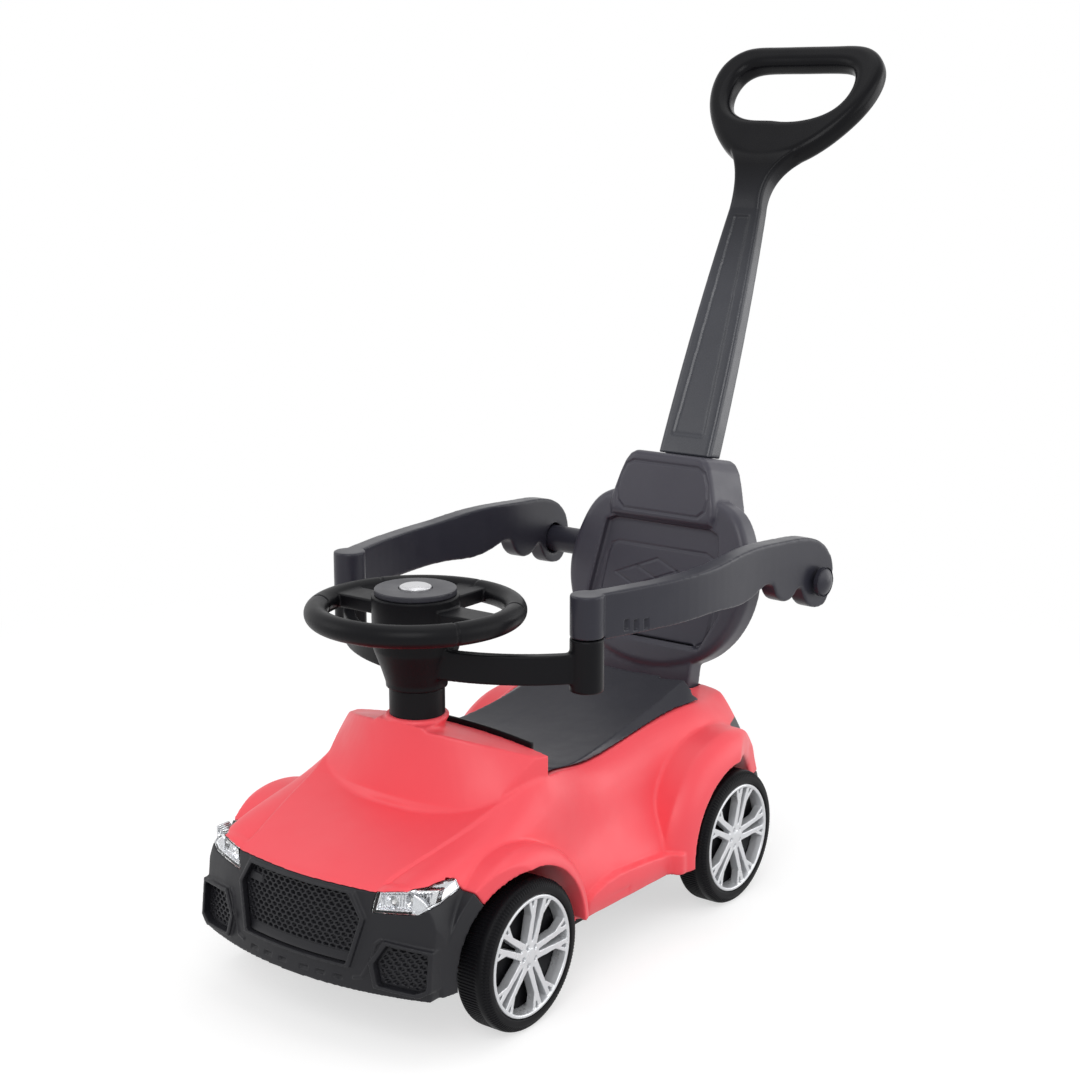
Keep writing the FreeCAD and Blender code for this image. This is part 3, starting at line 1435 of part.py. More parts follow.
def build_backrest_cover():
    """The flat back with the housing that carries the cross tube."""
    start = V.back_depth + V.part_gap
    plate = smooth_block(symmetric(BACK_OUTLINE_SHARES, V.wall), start, start + V.rear_cover_thickness)
    plate = leaned(plate, V.back_lean, back_foot)
    block = leaned(straight_block(symmetric(HEADREST_OUTLINE_SHARES, -V.part_gap), -far, far), V.back_lean, back_foot)
    housing = Part.makeCylinder(V.cross_tube_radius + V.back_wall, neck_half * 2,
                                Vector(-neck_half, V.cross_tube_behind, V.cross_tube_height), X_AXIS)
    shell = leaned(solid_box((-far, -far, -far), (far, start, far)), V.back_lean, back_foot)
    room = handle_channel(V.back_wall + V.part_gap, V.tongue_length)
    return plate.fuse(housing.cut(shell)).cut([block, cross_tube_space(0), room])


feature("backrest_cover", build_backrest_cover())

# Cross tube that carries both guard arm ends
arm_lean = math.radians(V.arm_flare)
tube_arm_out = V.post_out + (V.cross_tube_behind + V.post_behind) * math.tan(arm_lean)
tube_half = tube_arm_out
finish(cut("guard_cross_tube",
           cylinder("tube_outside", S.cross_tube_radius, as_size(tube_half * 2),
                    Vector(-tube_half, V.cross_tube_behind, V.cross_tube_height), X_AXIS),
           [cylinder("tube_inside", S.cross_tube_radius - S.cross_tube_wall, as_size(tube_half * 2),
                     Vector(-tube_half, V.cross_tube_behind, V.cross_tube_height), X_AXIS)]), "guard_cross_tube")


# Push handle
def rounded_rectangle(width, depth, start, up, radius):
    """A rounded rectangle in a level plane, its front edge at a start depth."""
    half = width / 2
    slope = radius * (1 - math.sqrt(HALF))
    back = start + depth

    def arc(ax, ay, mx, my, bx, by):
        return Part.Arc(Vector(ax, ay, up), Vector(mx, my, up), Vector(bx, by, up)).toShape()

    def line(ax, ay, bx, by):
        return Part.LineSegment(Vector(ax, ay, up), Vector(bx, by, up)).toShape()

    return Part.Wire([
        line(-half + radius, start, half - radius, start),
        arc(half - radius, start, half - slope, start + slope, half, start + radius),
        line(half, start + radius, half, back - radius),
        arc(half, back - radius, half - slope, back - slope, half - radius, back),
        line(half - radius, back, -half + radius, back),
        arc(-half + radius, back, -half + slope, back - slope, -half, back - radius),
        line(-half, back - radius, -half, start + radius),
        arc(-half, start + radius, -half + slope, start + slope, -half + radius, start),
    ])


def loop_outline(shares, half, low, high):
    left = [(x * half, low + z * (high - low)) for x, z in shares]
    return [Vector(x, 0, z) for x, z in left] + [Vector(-x, 0, z) for x, z in reversed(left[1:-1])]


def build_push_handle():
    corner = V.shaft_neck_depth / 4
    middle_shift = (V.shaft_base_depth - V.shaft_neck_depth) / 2
    base = rounded_rectangle(V.shaft_base_width, V.shaft_base_depth, 0, -V.shaft_tuck, corner)
    middle = rounded_rectangle(V.shaft_middle_width, (V.shaft_base_depth + V.shaft_neck_depth) / 2, middle_shift / 2,
                               V.shaft_length / 2, corner)
    neck = rounded_rectangle(V.shaft_neck_width, V.shaft_neck_depth, middle_shift, V.shaft_length, corner)
    seat = straight_block(symmetric(HEADREST_OUTLINE_SHARES, -V.part_gap), -far, far)
    shaft = leaned(loft([base, middle, neck]), V.handle_lean, shaft_foot).cut(leaned(seat, V.back_lean, back_foot))
    loop_place = Vector(0, V.shaft_base_depth / 2, V.shaft_length + V.neck_length)
    turn = Rotation(X_AXIS, -V.handle_lean)
    loop_foot = shaft_foot + turn.multVec(loop_place)
    neck_wire = leaned(neck, V.handle_lean, shaft_foot)
    deep = V.loop_depth * THROAT_SHARES[1]
    throat = rounded_rectangle(V.shaft_neck_width * THROAT_SHARES[0], deep, -deep / 2, 0, corner)
    shoulder = rounded_rectangle(V.shaft_neck_width * NECK_SHOULDER_SHARE, deep, -deep / 2, V.neck_length, corner)
    neck_piece = loft([neck_wire, leaned(throat, (V.handle_lean + V.loop_lean) / 2, loop_foot),
                       leaned(shoulder, V.loop_lean, loop_foot)])
    low = V.neck_length * LOOP_FOOT_SHARE
    high = low + V.loop_height
    hole_high = high - V.loop_bar
    hole_low = hole_high - V.loop_hole_height
    outer = closed_spline(loop_outline(LOOP_OUTER_SHARES, V.loop_half_width, low, high))
    inner = closed_spline(loop_outline(LOOP_INNER_SHARES, V.loop_half_width - V.loop_bar, hole_low, hole_high))
    through = Vector(0, V.loop_depth, 0)
    ring = Part.Face(outer).extrude(through).cut(Part.Face(inner).extrude(through))
    ring = ring.makeFillet(V.loop_round, [edge for edge in ring.Edges if edge.Closed])
    ring.translate(Vector(0, -V.loop_depth / 2, 0))
    ring = leaned(ring, V.loop_lean, loop_foot)
    tongue = handle_channel(0, V.tongue_length - V.part_gap)
    inset = V.handle_wall
    room_base = rounded_rectangle(V.tongue_width - inset * 2, V.tongue_depth - inset * 2,
                                  (V.shaft_base_depth - V.tongue_depth) / 2 + inset, -V.tongue_length, corner / 2)
    room_front = inset + V.shaft_panel_recess
    room_neck = rounded_rectangle(V.shaft_neck_width - inset * 2, V.shaft_neck_depth - inset - room_front,
                                  middle_shift + room_front, V.shaft_length, corner / 2)
    room = leaned(loft([room_base, room_neck], ruled=True), V.handle_lean, shaft_foot)
    panel = panel_cutter()
    return shaft.multiFuse([tongue, neck_piece, ring]).cut([room, panel])


def panel_cutter():
    """The shallow recess down the front of the shaft."""
    low = V.shaft_length * PANEL_SHARES[0]
    high = V.shaft_length * PANEL_SHARES[1]
    low_half = V.shaft_base_width * PANEL_SHARES[2]
    high_half = V.shaft_neck_width * PANEL_SHARES[3]
    shift = (V.shaft_base_depth - V.shaft_neck_depth) / 2
    points = [(-low_half, low), (low_half, low), (high_half, high), (-high_half, high)]
    face = [Vector(x, z / V.shaft_length * shift - V.cut_overrun, z) for x, z in points]
    return leaned(prism(face, Vector(0, V.cut_overrun + V.shaft_panel_recess, 0)), V.handle_lean, shaft_foot)


feature("push_handle", build_push_handle())


# Front guard rail with its bell collar and posts
def bell(inset):
    rise = V.bell_top - V.column_top
    foot = V.column_radius + V.wall - inset
    top = V.bell_radius - inset
    flank = [(foot + (top - foot) * out, rise * up) for out, up in BELL_SHARES]
    profile = [(0, 0)] + flank + [(0, rise)]
    points = [Vector(r, column_y, V.column_top + z) for r, z in profile]
    return Part.Face(polygon_wire(points)).revolve(Vector(0, column_y, 0), Z_AXIS, 360)


def build_front_rail():
    sagitta = V.rail_front - V.post_behind
    radius = (V.post_out ** 2 + sagitta ** 2) / (2 * sagitta)
    centre = Vector(0, radius - V.rail_front, V.rail_foot_height)
    band = tube(radius + V.rail_thickness / 2, radius - V.rail_thickness / 2, V.rail_height, centre)
    band = band.common(solid_box((-V.post_out, -far, 0), (V.post_out, -V.post_behind, far)))
    posts = [Part.makeCylinder(V.post_radius, V.arm_foot_height - V.post_foot_height,
                               Vector(side * V.post_out, -V.post_behind, V.post_foot_height)) for side in (1, -1)]
    pin_holes = [Part.makeCylinder(V.pivot_pin_radius, far, Vector(side * V.post_out, -V.post_behind,
                                                                  V.rail_foot_height)) for side in (1, -1)]
    room = bell(V.wall)
    room.translate(Vector(0, 0, V.wall))
    rod_room = Part.makeCylinder(V.rod_diameter / 2 + V.moving_gap, far, Vector(0, column_y, 0))
    return bell(0).multiFuse([band] + posts).cut([room, rod_room] + pin_holes)


feature("guard_front_rail", build_front_rail())
pin_top = V.arm_foot_height + (V.arm_top - V.arm_foot_height) * PIN_TOP_SHARE
finish(group("guard_pivot_pins", [
    cylinder(f"pivot_pin_{side + 1}", S.pivot_pin_radius, as_size(pin_top - V.rail_foot_height),
             Vector(side * V.post_out, -V.post_behind, V.rail_foot_height)) for side in (1, -1)]), "guard_pivot_pins")


# Guard arms, drawn straight back from the post and then flared outwards
def arm_placed(shape):
    moved = shape.copy()
    moved.rotate(Vector(), Z_AXIS, -V.arm_flare)
    moved.translate(Vector(V.post_out, -V.post_behind, 0))
    return moved


knob_along = (V.cross_tube_behind + V.post_behind) / math.cos(arm_lean)


def arm_band():
    """The plan of an arm, a strip that bows outwards behind the post, as a tall block."""
    half = V.arm_thickness / 2

    def edge(side):
        return spline([Vector(side + bow * V.arm_bow, t * V.arm_length, 0) for t, bow in ARM_BOW_SHARES])

    outer = edge(half)
    inner = edge(-half)
    ends = [Part.LineSegment(a.Point, b.Point).toShape() for a, b in zip(outer.Vertexes, inner.Vertexes)]
    return Part.Face(Part.Wire([outer, ends[1], inner, ends[0]])).extrude(Vector(0, 0, far))


def build_guard_arm():
    half = V.arm_thickness / 2
    drop = V.arm_top - V.arm_foot_height

    def edge(shares):
        return spline([Vector(-far, t * V.arm_length, V.arm_foot_height + V.moving_gap + z * (drop - V.moving_gap))
                       for t, z in shares])

    top = edge(ARM_TOP_SHARES)
    foot = edge([ARM_TOP_SHARES[-1]] + ARM_FOOT_SHARES)
    front = Part.LineSegment(foot.Vertexes[-1].Point, top.Vertexes[0].Point).toShape()
    band = Part.Face(Part.Wire([top, foot, front])).extrude(Vector(2 * far, 0, 0)).common(arm_band())
    post = Part.makeCylinder(V.post_radius, drop - V.moving_gap, Vector(0, 0, V.arm_foot_height + V.moving_gap))
    lower_room = Part.makeCylinder(V.post_radius + V.moving_gap, V.arm_foot_height + V.moving_gap, Vector())
    pin_room = Part.makeCylinder(V.pivot_pin_radius + V.running_gap, pin_top + V.moving_gap, Vector())
    stem_room = Part.makeCylinder(V.knob_stem_radius + V.running_gap, far,
                                  Vector(0, knob_along, V.cross_tube_height), X_AXIS)
    arm = arm_placed(band.cut(lower_room).fuse(post).cut([pin_room, stem_room]))
    socket_end = tube_arm_out + half - V.socket_wall
    socket = Part.makeCylinder(V.cross_tube_radius + V.socket_gap, socket_end,
                               Vector(0, V.cross_tube_behind, V.cross_tube_height), X_AXIS)
    return arm.cut(socket)


left_arm = build_guard_arm()
feature("left_guard_arm", left_arm)
feature("right_guard_arm", mirrored(left_arm))


def build_release_knob():
    outer = V.arm_thickness / 2
    cap_start = outer + V.knob_travel + V.moving_gap
    cap = Part.makeCylinder(V.knob_radius, V.knob_height, Vector(cap_start, knob_along, V.cross_tube_height), X_AXIS)
    outer_edges = [edge for edge in cap.Edges if edge.BoundBox.XMin > cap_start + V.part_gap]
    cap = cap.makeFillet(V.knob_height / 3, outer_edges)
    stem_start = outer - V.socket_wall
    stem_foot = Vector(stem_start, knob_along, V.cross_tube_height)
    stem = Part.makeCylinder(V.knob_stem_radius, cap_start - stem_start, stem_foot, X_AXIS)
    return arm_placed(cap.fuse(stem))


left_knob = build_release_knob()
feature("left_release_knob", left_knob)
feature("right_release_knob", mirrored(left_knob))


# Check and write every piece
doc.recompute()
os.makedirs("parts", exist_ok=True)
for item in doc.Objects:
    if "Invalid" in item.State or "Error" in item.State:
        raise RuntimeError(f"{item.Label} did not build")
for item in nodes:
    if item.Shape.isNull() or not item.Shape.isValid():
        raise RuntimeError(f"{item.Label} is not a valid shape")
    item.Shape.exportStep(f"parts/{item.Label}.step")
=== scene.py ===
import json
import math

import bmesh
import bpy
import numpy as np
from mathutils import Matrix, Vector

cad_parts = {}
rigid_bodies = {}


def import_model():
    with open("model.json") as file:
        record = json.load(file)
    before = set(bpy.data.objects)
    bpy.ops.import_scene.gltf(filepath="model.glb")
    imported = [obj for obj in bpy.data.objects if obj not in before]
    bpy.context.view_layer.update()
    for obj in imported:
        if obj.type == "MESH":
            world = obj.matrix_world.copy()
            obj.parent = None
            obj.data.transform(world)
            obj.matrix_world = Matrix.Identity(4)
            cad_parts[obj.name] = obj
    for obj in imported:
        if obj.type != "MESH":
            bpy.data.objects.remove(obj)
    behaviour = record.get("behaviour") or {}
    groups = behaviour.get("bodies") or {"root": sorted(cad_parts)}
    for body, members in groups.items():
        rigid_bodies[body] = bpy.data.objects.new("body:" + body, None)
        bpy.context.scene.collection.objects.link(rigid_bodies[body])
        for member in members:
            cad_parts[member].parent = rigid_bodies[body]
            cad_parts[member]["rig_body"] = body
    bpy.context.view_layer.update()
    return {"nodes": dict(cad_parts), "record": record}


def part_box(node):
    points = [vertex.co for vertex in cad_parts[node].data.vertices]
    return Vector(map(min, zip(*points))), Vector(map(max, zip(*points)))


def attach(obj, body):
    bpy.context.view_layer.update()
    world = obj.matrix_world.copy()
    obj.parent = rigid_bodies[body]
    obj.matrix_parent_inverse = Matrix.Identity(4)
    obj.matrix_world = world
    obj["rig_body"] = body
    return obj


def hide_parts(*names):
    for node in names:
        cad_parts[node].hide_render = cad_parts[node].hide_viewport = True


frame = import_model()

scene = bpy.context.scene
MM = 0.001
SIDES = (("left", 1.0), ("right", -1.0))
WELD = 1e-6
SKIN = 0.1 * MM
WALL = 4.5 * MM


# Materials: each noise has a scale and a detail, and each range is the part of a value that shows.

CLOUD = (14.0, 3.0)
SPECK = (260.0, 1.0)
SPECK_RANGE = (0.62, 0.72)
SPECK_TONE = 1.5
EDGE_RANGE = (0.53, 0.62)
RUB = (70.0, 4.0)
RUB_RANGE = (0.35, 0.7)
RUB_LEAST = 0.2
RUB_TONE = 1.6
HAIR = (30.0, 5.0)
HAIR_RANGE = (0.66, 0.74)
HAIR_STRETCH = (1.0, 22.0, 9.0)
HAIR_TURN = (0.4, 0.2, 0.7)
HAIR_ROUGH = 0.25
PATCH = (38.0, 4.0)
PATCH_RANGE = (0.25, 0.75)
GRAIN_DETAIL = 2.0
GRAIN_HEIGHT = 0.3 * MM
WAVE = (26.0, 1.0)
WAVE_SHARE = 0.10
WAVE_HEIGHT = 0.8 * MM
COAT_ROUGH = 0.12
CLEAR_IOR = 1.3
FLOW_SCALE = 30.0
FLOW_TONE = 0.97
CLEAR_PATCH_SCALE = 60.0
CLEAR_PATCH_RANGE = (0.3, 0.7)
CLEAR_ROUGHEST = 3.0
CLEAR_WAVE_SCALE = 120.0
CLEAR_WAVE_SHARE = 0.06
CLEAR_WAVE_HEIGHT = 0.4 * MM


def wire(tree, start, end):
    tree.links.new(start, end)


def noise(tree, coords, scale, detail=2.0):
    node = tree.nodes.new("ShaderNodeTexNoise")
    node.inputs["Scale"].default_value = scale
    node.inputs["Detail"].default_value = detail
    wire(tree, coords, node.inputs["Vector"])
    return node.outputs["Fac"]


def spread(tree, value, low, high, to_low, to_high):
    """A value mapped from one range to another."""
    node = tree.nodes.new("ShaderNodeMapRange")
    for name, number in (("From Min", low), ("From Max", high), ("To Min", to_low), ("To Max", to_high)):
        node.inputs[name].default_value = number
    wire(tree, value, node.inputs["Value"])
    return node.outputs["Result"]


def times(tree, first, second):
    node = tree.nodes.new("ShaderNodeMath")
    node.operation = "MULTIPLY"
    wire(tree, first, node.inputs[0])
    wire(tree, second, node.inputs[1])
    return node.outputs["Value"]


def mixed(tree, share, first, second):
    """Two colours mixed by a share; each may be a socket or a plain colour."""
    node = tree.nodes.new("ShaderNodeMix")
    node.data_type = "RGBA"
    wire(tree, share, node.inputs[0])
    for socket, colour in ((node.inputs[6], first), (node.inputs[7], second)):
        if isinstance(colour, bpy.types.NodeSocket):
            wire(tree, colour, socket)
        else:
            socket.default_value = (*colour, 1.0)
    return node.outputs[2]


def toned(colour, share):
    return tuple(min(channel * share, 1.0) for channel in colour)


def finish(name, colour, rough, grain_scale=900.0, grain=0.12, mottle=0.08, rough_spread=0.06,
           metallic=0.0, specular=0.5, coat=0.0, wear=0.35, worn=None, scratch=0.25,
           upper=None, lower_rear=None):
    """A moulded surface: fine grain, uneven gloss, faint mottle, rubbed edges and hairline scratches.

    upper gives the heights between which the surface passes over to a second colour and shine; lower_rear
    gives the second colour of the lower rear panel, which ends at a height and at the ring of the rear wing.
    """
    made = bpy.data.materials.new(name)
    made.use_nodes = True
    tree = made.node_tree
    shader = tree.nodes["Principled BSDF"]
    coords = tree.nodes.new("ShaderNodeTexCoord").outputs["Object"]
    shader.inputs["Metallic"].default_value = metallic
    shader.inputs["Specular IOR Level"].default_value = specular
    shader.inputs["Coat Weight"].default_value = coat
    shader.inputs["Coat Roughness"].default_value = COAT_ROUGH

    cloud = noise(tree, coords, *CLOUD)
    tint = mixed(tree, cloud, toned(colour, 1.0 - mottle), toned(colour, 1.0 + mottle))
    speck = spread(tree, noise(tree, coords, *SPECK), *SPECK_RANGE, 0.0, mottle)
    tint = mixed(tree, speck, tint, toned(colour, SPECK_TONE))
    edges = tree.nodes.new("ShaderNodeNewGeometry").outputs["Pointiness"]
    rubbed = spread(tree, edges, *EDGE_RANGE, 0.0, wear)
    rubbed = times(tree, rubbed, spread(tree, noise(tree, coords, *RUB), *RUB_RANGE, RUB_LEAST, 1.0))
    tint = mixed(tree, rubbed, tint, worn or toned(colour, RUB_TONE))
    if upper:
        low, high, second, shine = upper
        parted = tree.nodes.new("ShaderNodeSeparateXYZ")
        wire(tree, coords, parted.inputs["Vector"])
        tint = mixed(tree, spread(tree, parted.outputs["Z"], low, high, 0.0, 1.0), tint, second)
        shown = spread(tree, parted.outputs["Z"], low, high, specular, shine)
        wire(tree, shown, shader.inputs["Specular IOR Level"])
    if lower_rear:
        second, start, top, wheel, ring = lower_rear
        parted = tree.nodes.new("ShaderNodeSeparateXYZ")
        wire(tree, coords, parted.inputs["Vector"])
        flat = tree.nodes.new("ShaderNodeVectorMath")
        flat.operation = "MULTIPLY"
        flat.inputs[1].default_value = (0.0, 1.0, 1.0)
        wire(tree, coords, flat.inputs[0])
        away = tree.nodes.new("ShaderNodeVectorMath")
        away.operation = "DISTANCE"
        away.inputs[1].default_value = (0.0, *wheel)
        wire(tree, flat.outputs["Vector"], away.inputs[0])
        panel = spread(tree, parted.outputs["Y"], start - MM, start, 0.0, 1.0)
        panel = times(tree, panel, spread(tree, parted.outputs["Z"], top - MM, top, 1.0, 0.0))
        panel = times(tree, panel, spread(tree, away.outputs["Value"], ring, ring + MM, 0.0, 1.0))
        tint = mixed(tree, panel, tint, second)
    wire(tree, tint, shader.inputs["Base Color"])

    stretch = tree.nodes.new("ShaderNodeMapping")
    stretch.inputs["Scale"].default_value = HAIR_STRETCH
    stretch.inputs["Rotation"].default_value = HAIR_TURN
    wire(tree, coords, stretch.inputs["Vector"])
    hairs = spread(tree, noise(tree, stretch.outputs["Vector"], *HAIR), *HAIR_RANGE, 0.0, scratch)
    patches = noise(tree, coords, *PATCH)
    gloss = spread(tree, patches, *PATCH_RANGE, rough - rough_spread, rough + rough_spread)
    added = tree.nodes.new("ShaderNodeMath")
    added.operation = "MULTIPLY_ADD"
    wire(tree, hairs, added.inputs[0])
    added.inputs[1].default_value = HAIR_ROUGH
    wire(tree, gloss, added.inputs[2])
    wire(tree, added.outputs["Value"], shader.inputs["Roughness"])

    bump = tree.nodes.new("ShaderNodeBump")
    bump.inputs["Strength"].default_value = grain
    bump.inputs["Distance"].default_value = GRAIN_HEIGHT
    wire(tree, noise(tree, coords, grain_scale, GRAIN_DETAIL), bump.inputs["Height"])
    wave = tree.nodes.new("ShaderNodeBump")
    wave.inputs["Strength"].default_value = WAVE_SHARE
    wave.inputs["Distance"].default_value = WAVE_HEIGHT
    wire(tree, noise(tree, coords, *WAVE), wave.inputs["Height"])
    wire(tree, bump.outputs["Normal"], wave.inputs["Normal"])
    wire(tree, wave.outputs["Normal"], shader.inputs["Normal"])
    return made


def clear_finish(name, colour, rough):
    """Clear moulded plastic, with faint flow lines."""
    made = bpy.data.materials.new(name)
    made.use_nodes = True
    tree = made.node_tree
    shader = tree.nodes["Principled BSDF"]
    coords = tree.nodes.new("ShaderNodeTexCoord").outputs["Object"]
    shader.inputs["Transmission Weight"].default_value = 1.0
    shader.inputs["IOR"].default_value = CLEAR_IOR
    tint = mixed(tree, noise(tree, coords, FLOW_SCALE), toned(colour, FLOW_TONE), colour)
    wire(tree, tint, shader.inputs["Base Color"])
    patches = noise(tree, coords, CLEAR_PATCH_SCALE)
    gloss = spread(tree, patches, *CLEAR_PATCH_RANGE, rough, rough * CLEAR_ROUGHEST)
    wire(tree, gloss, shader.inputs["Roughness"])
    bump = tree.nodes.new("ShaderNodeBump")
    bump.inputs["Strength"].default_value = CLEAR_WAVE_SHARE
    bump.inputs["Distance"].default_value = CLEAR_WAVE_HEIGHT
    wire(tree, noise(tree, coords, CLEAR_WAVE_SCALE), bump.inputs["Height"])
    wire(tree, bump.outputs["Normal"], shader.inputs["Normal"])
    return made


RED = (0.93, 0.086, 0.109)
BLACK = (0.0055, 0.0055, 0.0068)
CHARCOAL = (0.024, 0.024, 0.034)
REAR_START = 0.238
REAR_TOP = 0.182
REAR_WHEEL = (0.19, 0.075)
REAR_RING = 0.1195
FINISHES = {
    "body_red": finish("red_shell", RED, 0.42, grain=0.10, mottle=0.025, wear=0.25, worn=(0.95, 0.25, 0.27),
                       specular=0.40, scratch=0.15,
                       lower_rear=(BLACK, REAR_START, REAR_TOP, REAR_WHEEL, REAR_RING)),
    "black_plastic": finish("black_moulding", BLACK, 0.38, grain=0.16, specular=0.11),
    "bumper_black": finish("bumper_moulding", (0.013, 0.013, 0.016), 0.44, grain=0.20, specular=0.26),
    "charcoal": finish("charcoal_moulding", CHARCOAL, 0.34, grain=0.12, specular=0.26, scratch=0.1),
    "handle": finish("handle_moulding", (0.034, 0.036, 0.046), 0.26, grain=0.08, specular=0.46,
                     upper=(0.66, 0.80, BLACK, 0.10)),
    "back_moulding": finish("back_moulding", (0.050, 0.048, 0.064), 0.38, grain=0.18, specular=0.36),
    "seat_plastic": finish("seat_moulding", (0.024, 0.024, 0.032), 0.42, grain=0.20, specular=0.40),
    "tyre": finish("tyre_moulding", (0.0040, 0.0040, 0.0052), 0.46, grain=0.18, specular=0.10),
    "rim_silver": finish("silver_lacquer", (0.64, 0.65, 0.67), 0.30, grain=0.05, mottle=0.04, metallic=0.55,
                         worn=(0.80, 0.80, 0.82)),
    "silver_plastic": finish("silver_button", (0.60, 0.60, 0.62), 0.28, grain=0.04, mottle=0.04, metallic=0.6,
                             worn=(0.82, 0.82, 0.84)),
    "reflector": finish("bright_reflector", (0.62, 0.63, 0.65), 0.12, grain=0.03, mottle=0.02,
                        rough_spread=0.03, metallic=1.0, worn=(0.8, 0.8, 0.8)),
    "bulb": finish("bulb_glaze", (0.80, 0.80, 0.78), 0.10, grain=0.02, mottle=0.02, rough_spread=0.02,
                   coat=0.6),
    "tail_lens": finish("tail_lens", (0.70, 0.62, 0.62), 0.12, grain=0.03, mottle=0.05, coat=0.6),
    "grey_plastic": finish("grey_moulding", (0.30, 0.30, 0.31), 0.5),
    "steel": finish("bright_steel", (0.55, 0.55, 0.56), 0.30, grain=0.08, metallic=1.0, worn=(0.7, 0.7, 0.7)),
    "clear_lens": clear_finish("clear_lens", (0.97, 0.975, 0.98), 0.02),
}


# Pieces

def new_piece(name, mesh):
    made = bpy.data.objects.new(name, mesh)
    scene.collection.objects.link(made)
    return made


def settle(piece, body, slot, look, *nodes):
    """Gives a piece its finish, the body that carries it and the nodes that it stands for; the slot is not
    used.
    """
    piece.data.materials.clear()
    piece.data.materials.append(FINISHES[look])
    piece.data.polygons.foreach_set("use_smooth", np.ones(len(piece.data.polygons), bool))
    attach(piece, body)
    if nodes:
        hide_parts(*nodes)
    return piece


def body_of(node):
    return frame["nodes"][node]["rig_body"]


SLOT_OF = {entry["node"]: entry["material_slot"] for entry in frame["record"]["subparts"]}


def even_mesh(mesh, voxel, rounds):
    """A closed form, evenly meshed, with its moulded edges rounded off."""
    draft = new_piece("draft", mesh)
    even = draft.modifiers.new("even", "REMESH")
    even.mode = "VOXEL"
    even.voxel_size = voxel * MM
    soft = draft.modifiers.new("soft", "SMOOTH")
    soft.factor = 0.5
    soft.iterations = rounds
    graph = bpy.context.evaluated_depsgraph_get()
    made = bpy.data.meshes.new_from_object(draft.evaluated_get(graph))
    bpy.data.objects.remove(draft)
    bpy.data.meshes.remove(mesh)
    return made


def back_wall(shape, faces, depth):
    """A closed wall under some faces of a shape, as deep as given."""
    normals = {}
    for face in faces:
        for corner in face.verts:
            normals[corner] = normals.get(corner, Vector()) + face.normal
    skin = {}
    inner = {}
    for corner, normal in normals.items():
        way = normal.normalized()
        skin[corner] = shape.verts.new(corner.co - way * SKIN)
        inner[corner] = shape.verts.new(corner.co - way * depth)
    edges = {}
    for face in faces:
        ring = list(face.verts)
        shape.faces.new([skin[corner] for corner in ring])
        shape.faces.new([inner[corner] for corner in reversed(ring)])
        for first, second in zip(ring, ring[1:] + ring[:1]):
            edges[(first, second)] = True
    for first, second in edges:
        if (second, first) not in edges:
            shape.faces.new([skin[second], skin[first], inner[first], inner[second]])


def soft_mesh(node, voxel, rounds, thin=None):
    """A node's form, evenly meshed; thin picks the faces whose wall is made up to a moulded thickness."""
    mesh = frame["nodes"][node].data.copy()
    shape = bmesh.new()
    shape.from_mesh(mesh)
    bmesh.ops.remove_doubles(shape, verts=shape.verts, dist=WELD)
    shape.normal_update()
    if thin:
        faces = [face for face in shape.faces if thin(face.calc_center_median() / MM, face.normal)]
        back_wall(shape, faces, WALL)
    shape.to_mesh(mesh)
    shape.free()
    return even_mesh(mesh, voxel, rounds)


def face_outward(mesh, weld=False):
    """Turns the faces of a closed form outward; weld first joins the points that lie on each other."""
    shape = bmesh.new()
    shape.from_mesh(mesh)
    if weld:
        bmesh.ops.remove_doubles(shape, verts=shape.verts, dist=WELD)
    bmesh.ops.recalc_face_normals(shape, faces=shape.faces)
    shape.to_mesh(mesh)
    shape.free()


def points_of(mesh):
    flat = np.empty(len(mesh.vertices) * 3)
    mesh.vertices.foreach_get("co", flat)
    return flat.reshape(-1, 3)


def normals_of(mesh):
    flat = np.empty(len(mesh.vertices) * 3, np.float32)
    mesh.vertex_normals.foreach_get("vector", flat)
    return flat.reshape(-1, 3).astype(float)


def place_points(mesh, points):
    mesh.vertices.foreach_set("co", points.ravel())
    mesh.update()


def moulded(node, look, voxel, rounds, thin=None):
    mesh = soft_mesh(node, voxel, rounds, thin)
    piece = new_piece(node + "_moulding", mesh)
    return settle(piece, body_of(node), SLOT_OF[node], look, node)


def ramp(value, low, high):
    """Smooth share from zero at low to one at high."""
    share = np.clip((value - low) / (high - low), 0.0, 1.0)
    return share * share * (3.0 - 2.0 * share)


def line_distance(points, line, closed=False):
    """Distance of each point from a line through corners, in two or three directions."""
    corners = [np.array(corner, float) for corner in line]
    if closed:
        corners.append(corners[0])
    best = np.full(len(points), np.inf)
    for first, second in zip(corners, corners[1:]):
        way = second - first
        share = np.clip((points - first) @ way / (way @ way), 0.0, 1.0)
        best = np.minimum(best, np.linalg.norm(points - first - share[:, None] * way, axis=1))
    return best


def inside_depth(x, z, outline):
    """Distance of each point inside an outline from its edge; points outside count below zero."""
    points = np.stack([np.ravel(x), np.ravel(z)], -1)
    inside = np.zeros(len(points), bool)
    for (x0, z0), (x1, z1) in zip(outline, outline[1:] + outline[:1]):
        crosses = (z0 > points[:, 1]) != (z1 > points[:, 1])
        rise = z1 - z0 if z1 != z0 else np.inf
        inside ^= crosses & (points[:, 0] < x0 + (points[:, 1] - z0) * (x1 - x0) / rise)
    far = line_distance(points, outline, True)
    return np.where(inside, far, -far).reshape(np.shape(x))


def engrave(mesh, pick, distance, half_width, depth):
    """A moulded groove, or with a negative depth a ridge, along lines near the picked points."""
    points = points_of(mesh)
    normals = normals_of(mesh)
    share = np.where(pick, 1.0 - ramp(distance, 0.35 * half_width, half_width), 0.0)
    place_points(mesh, points - normals * (share * depth * MM)[:, None])


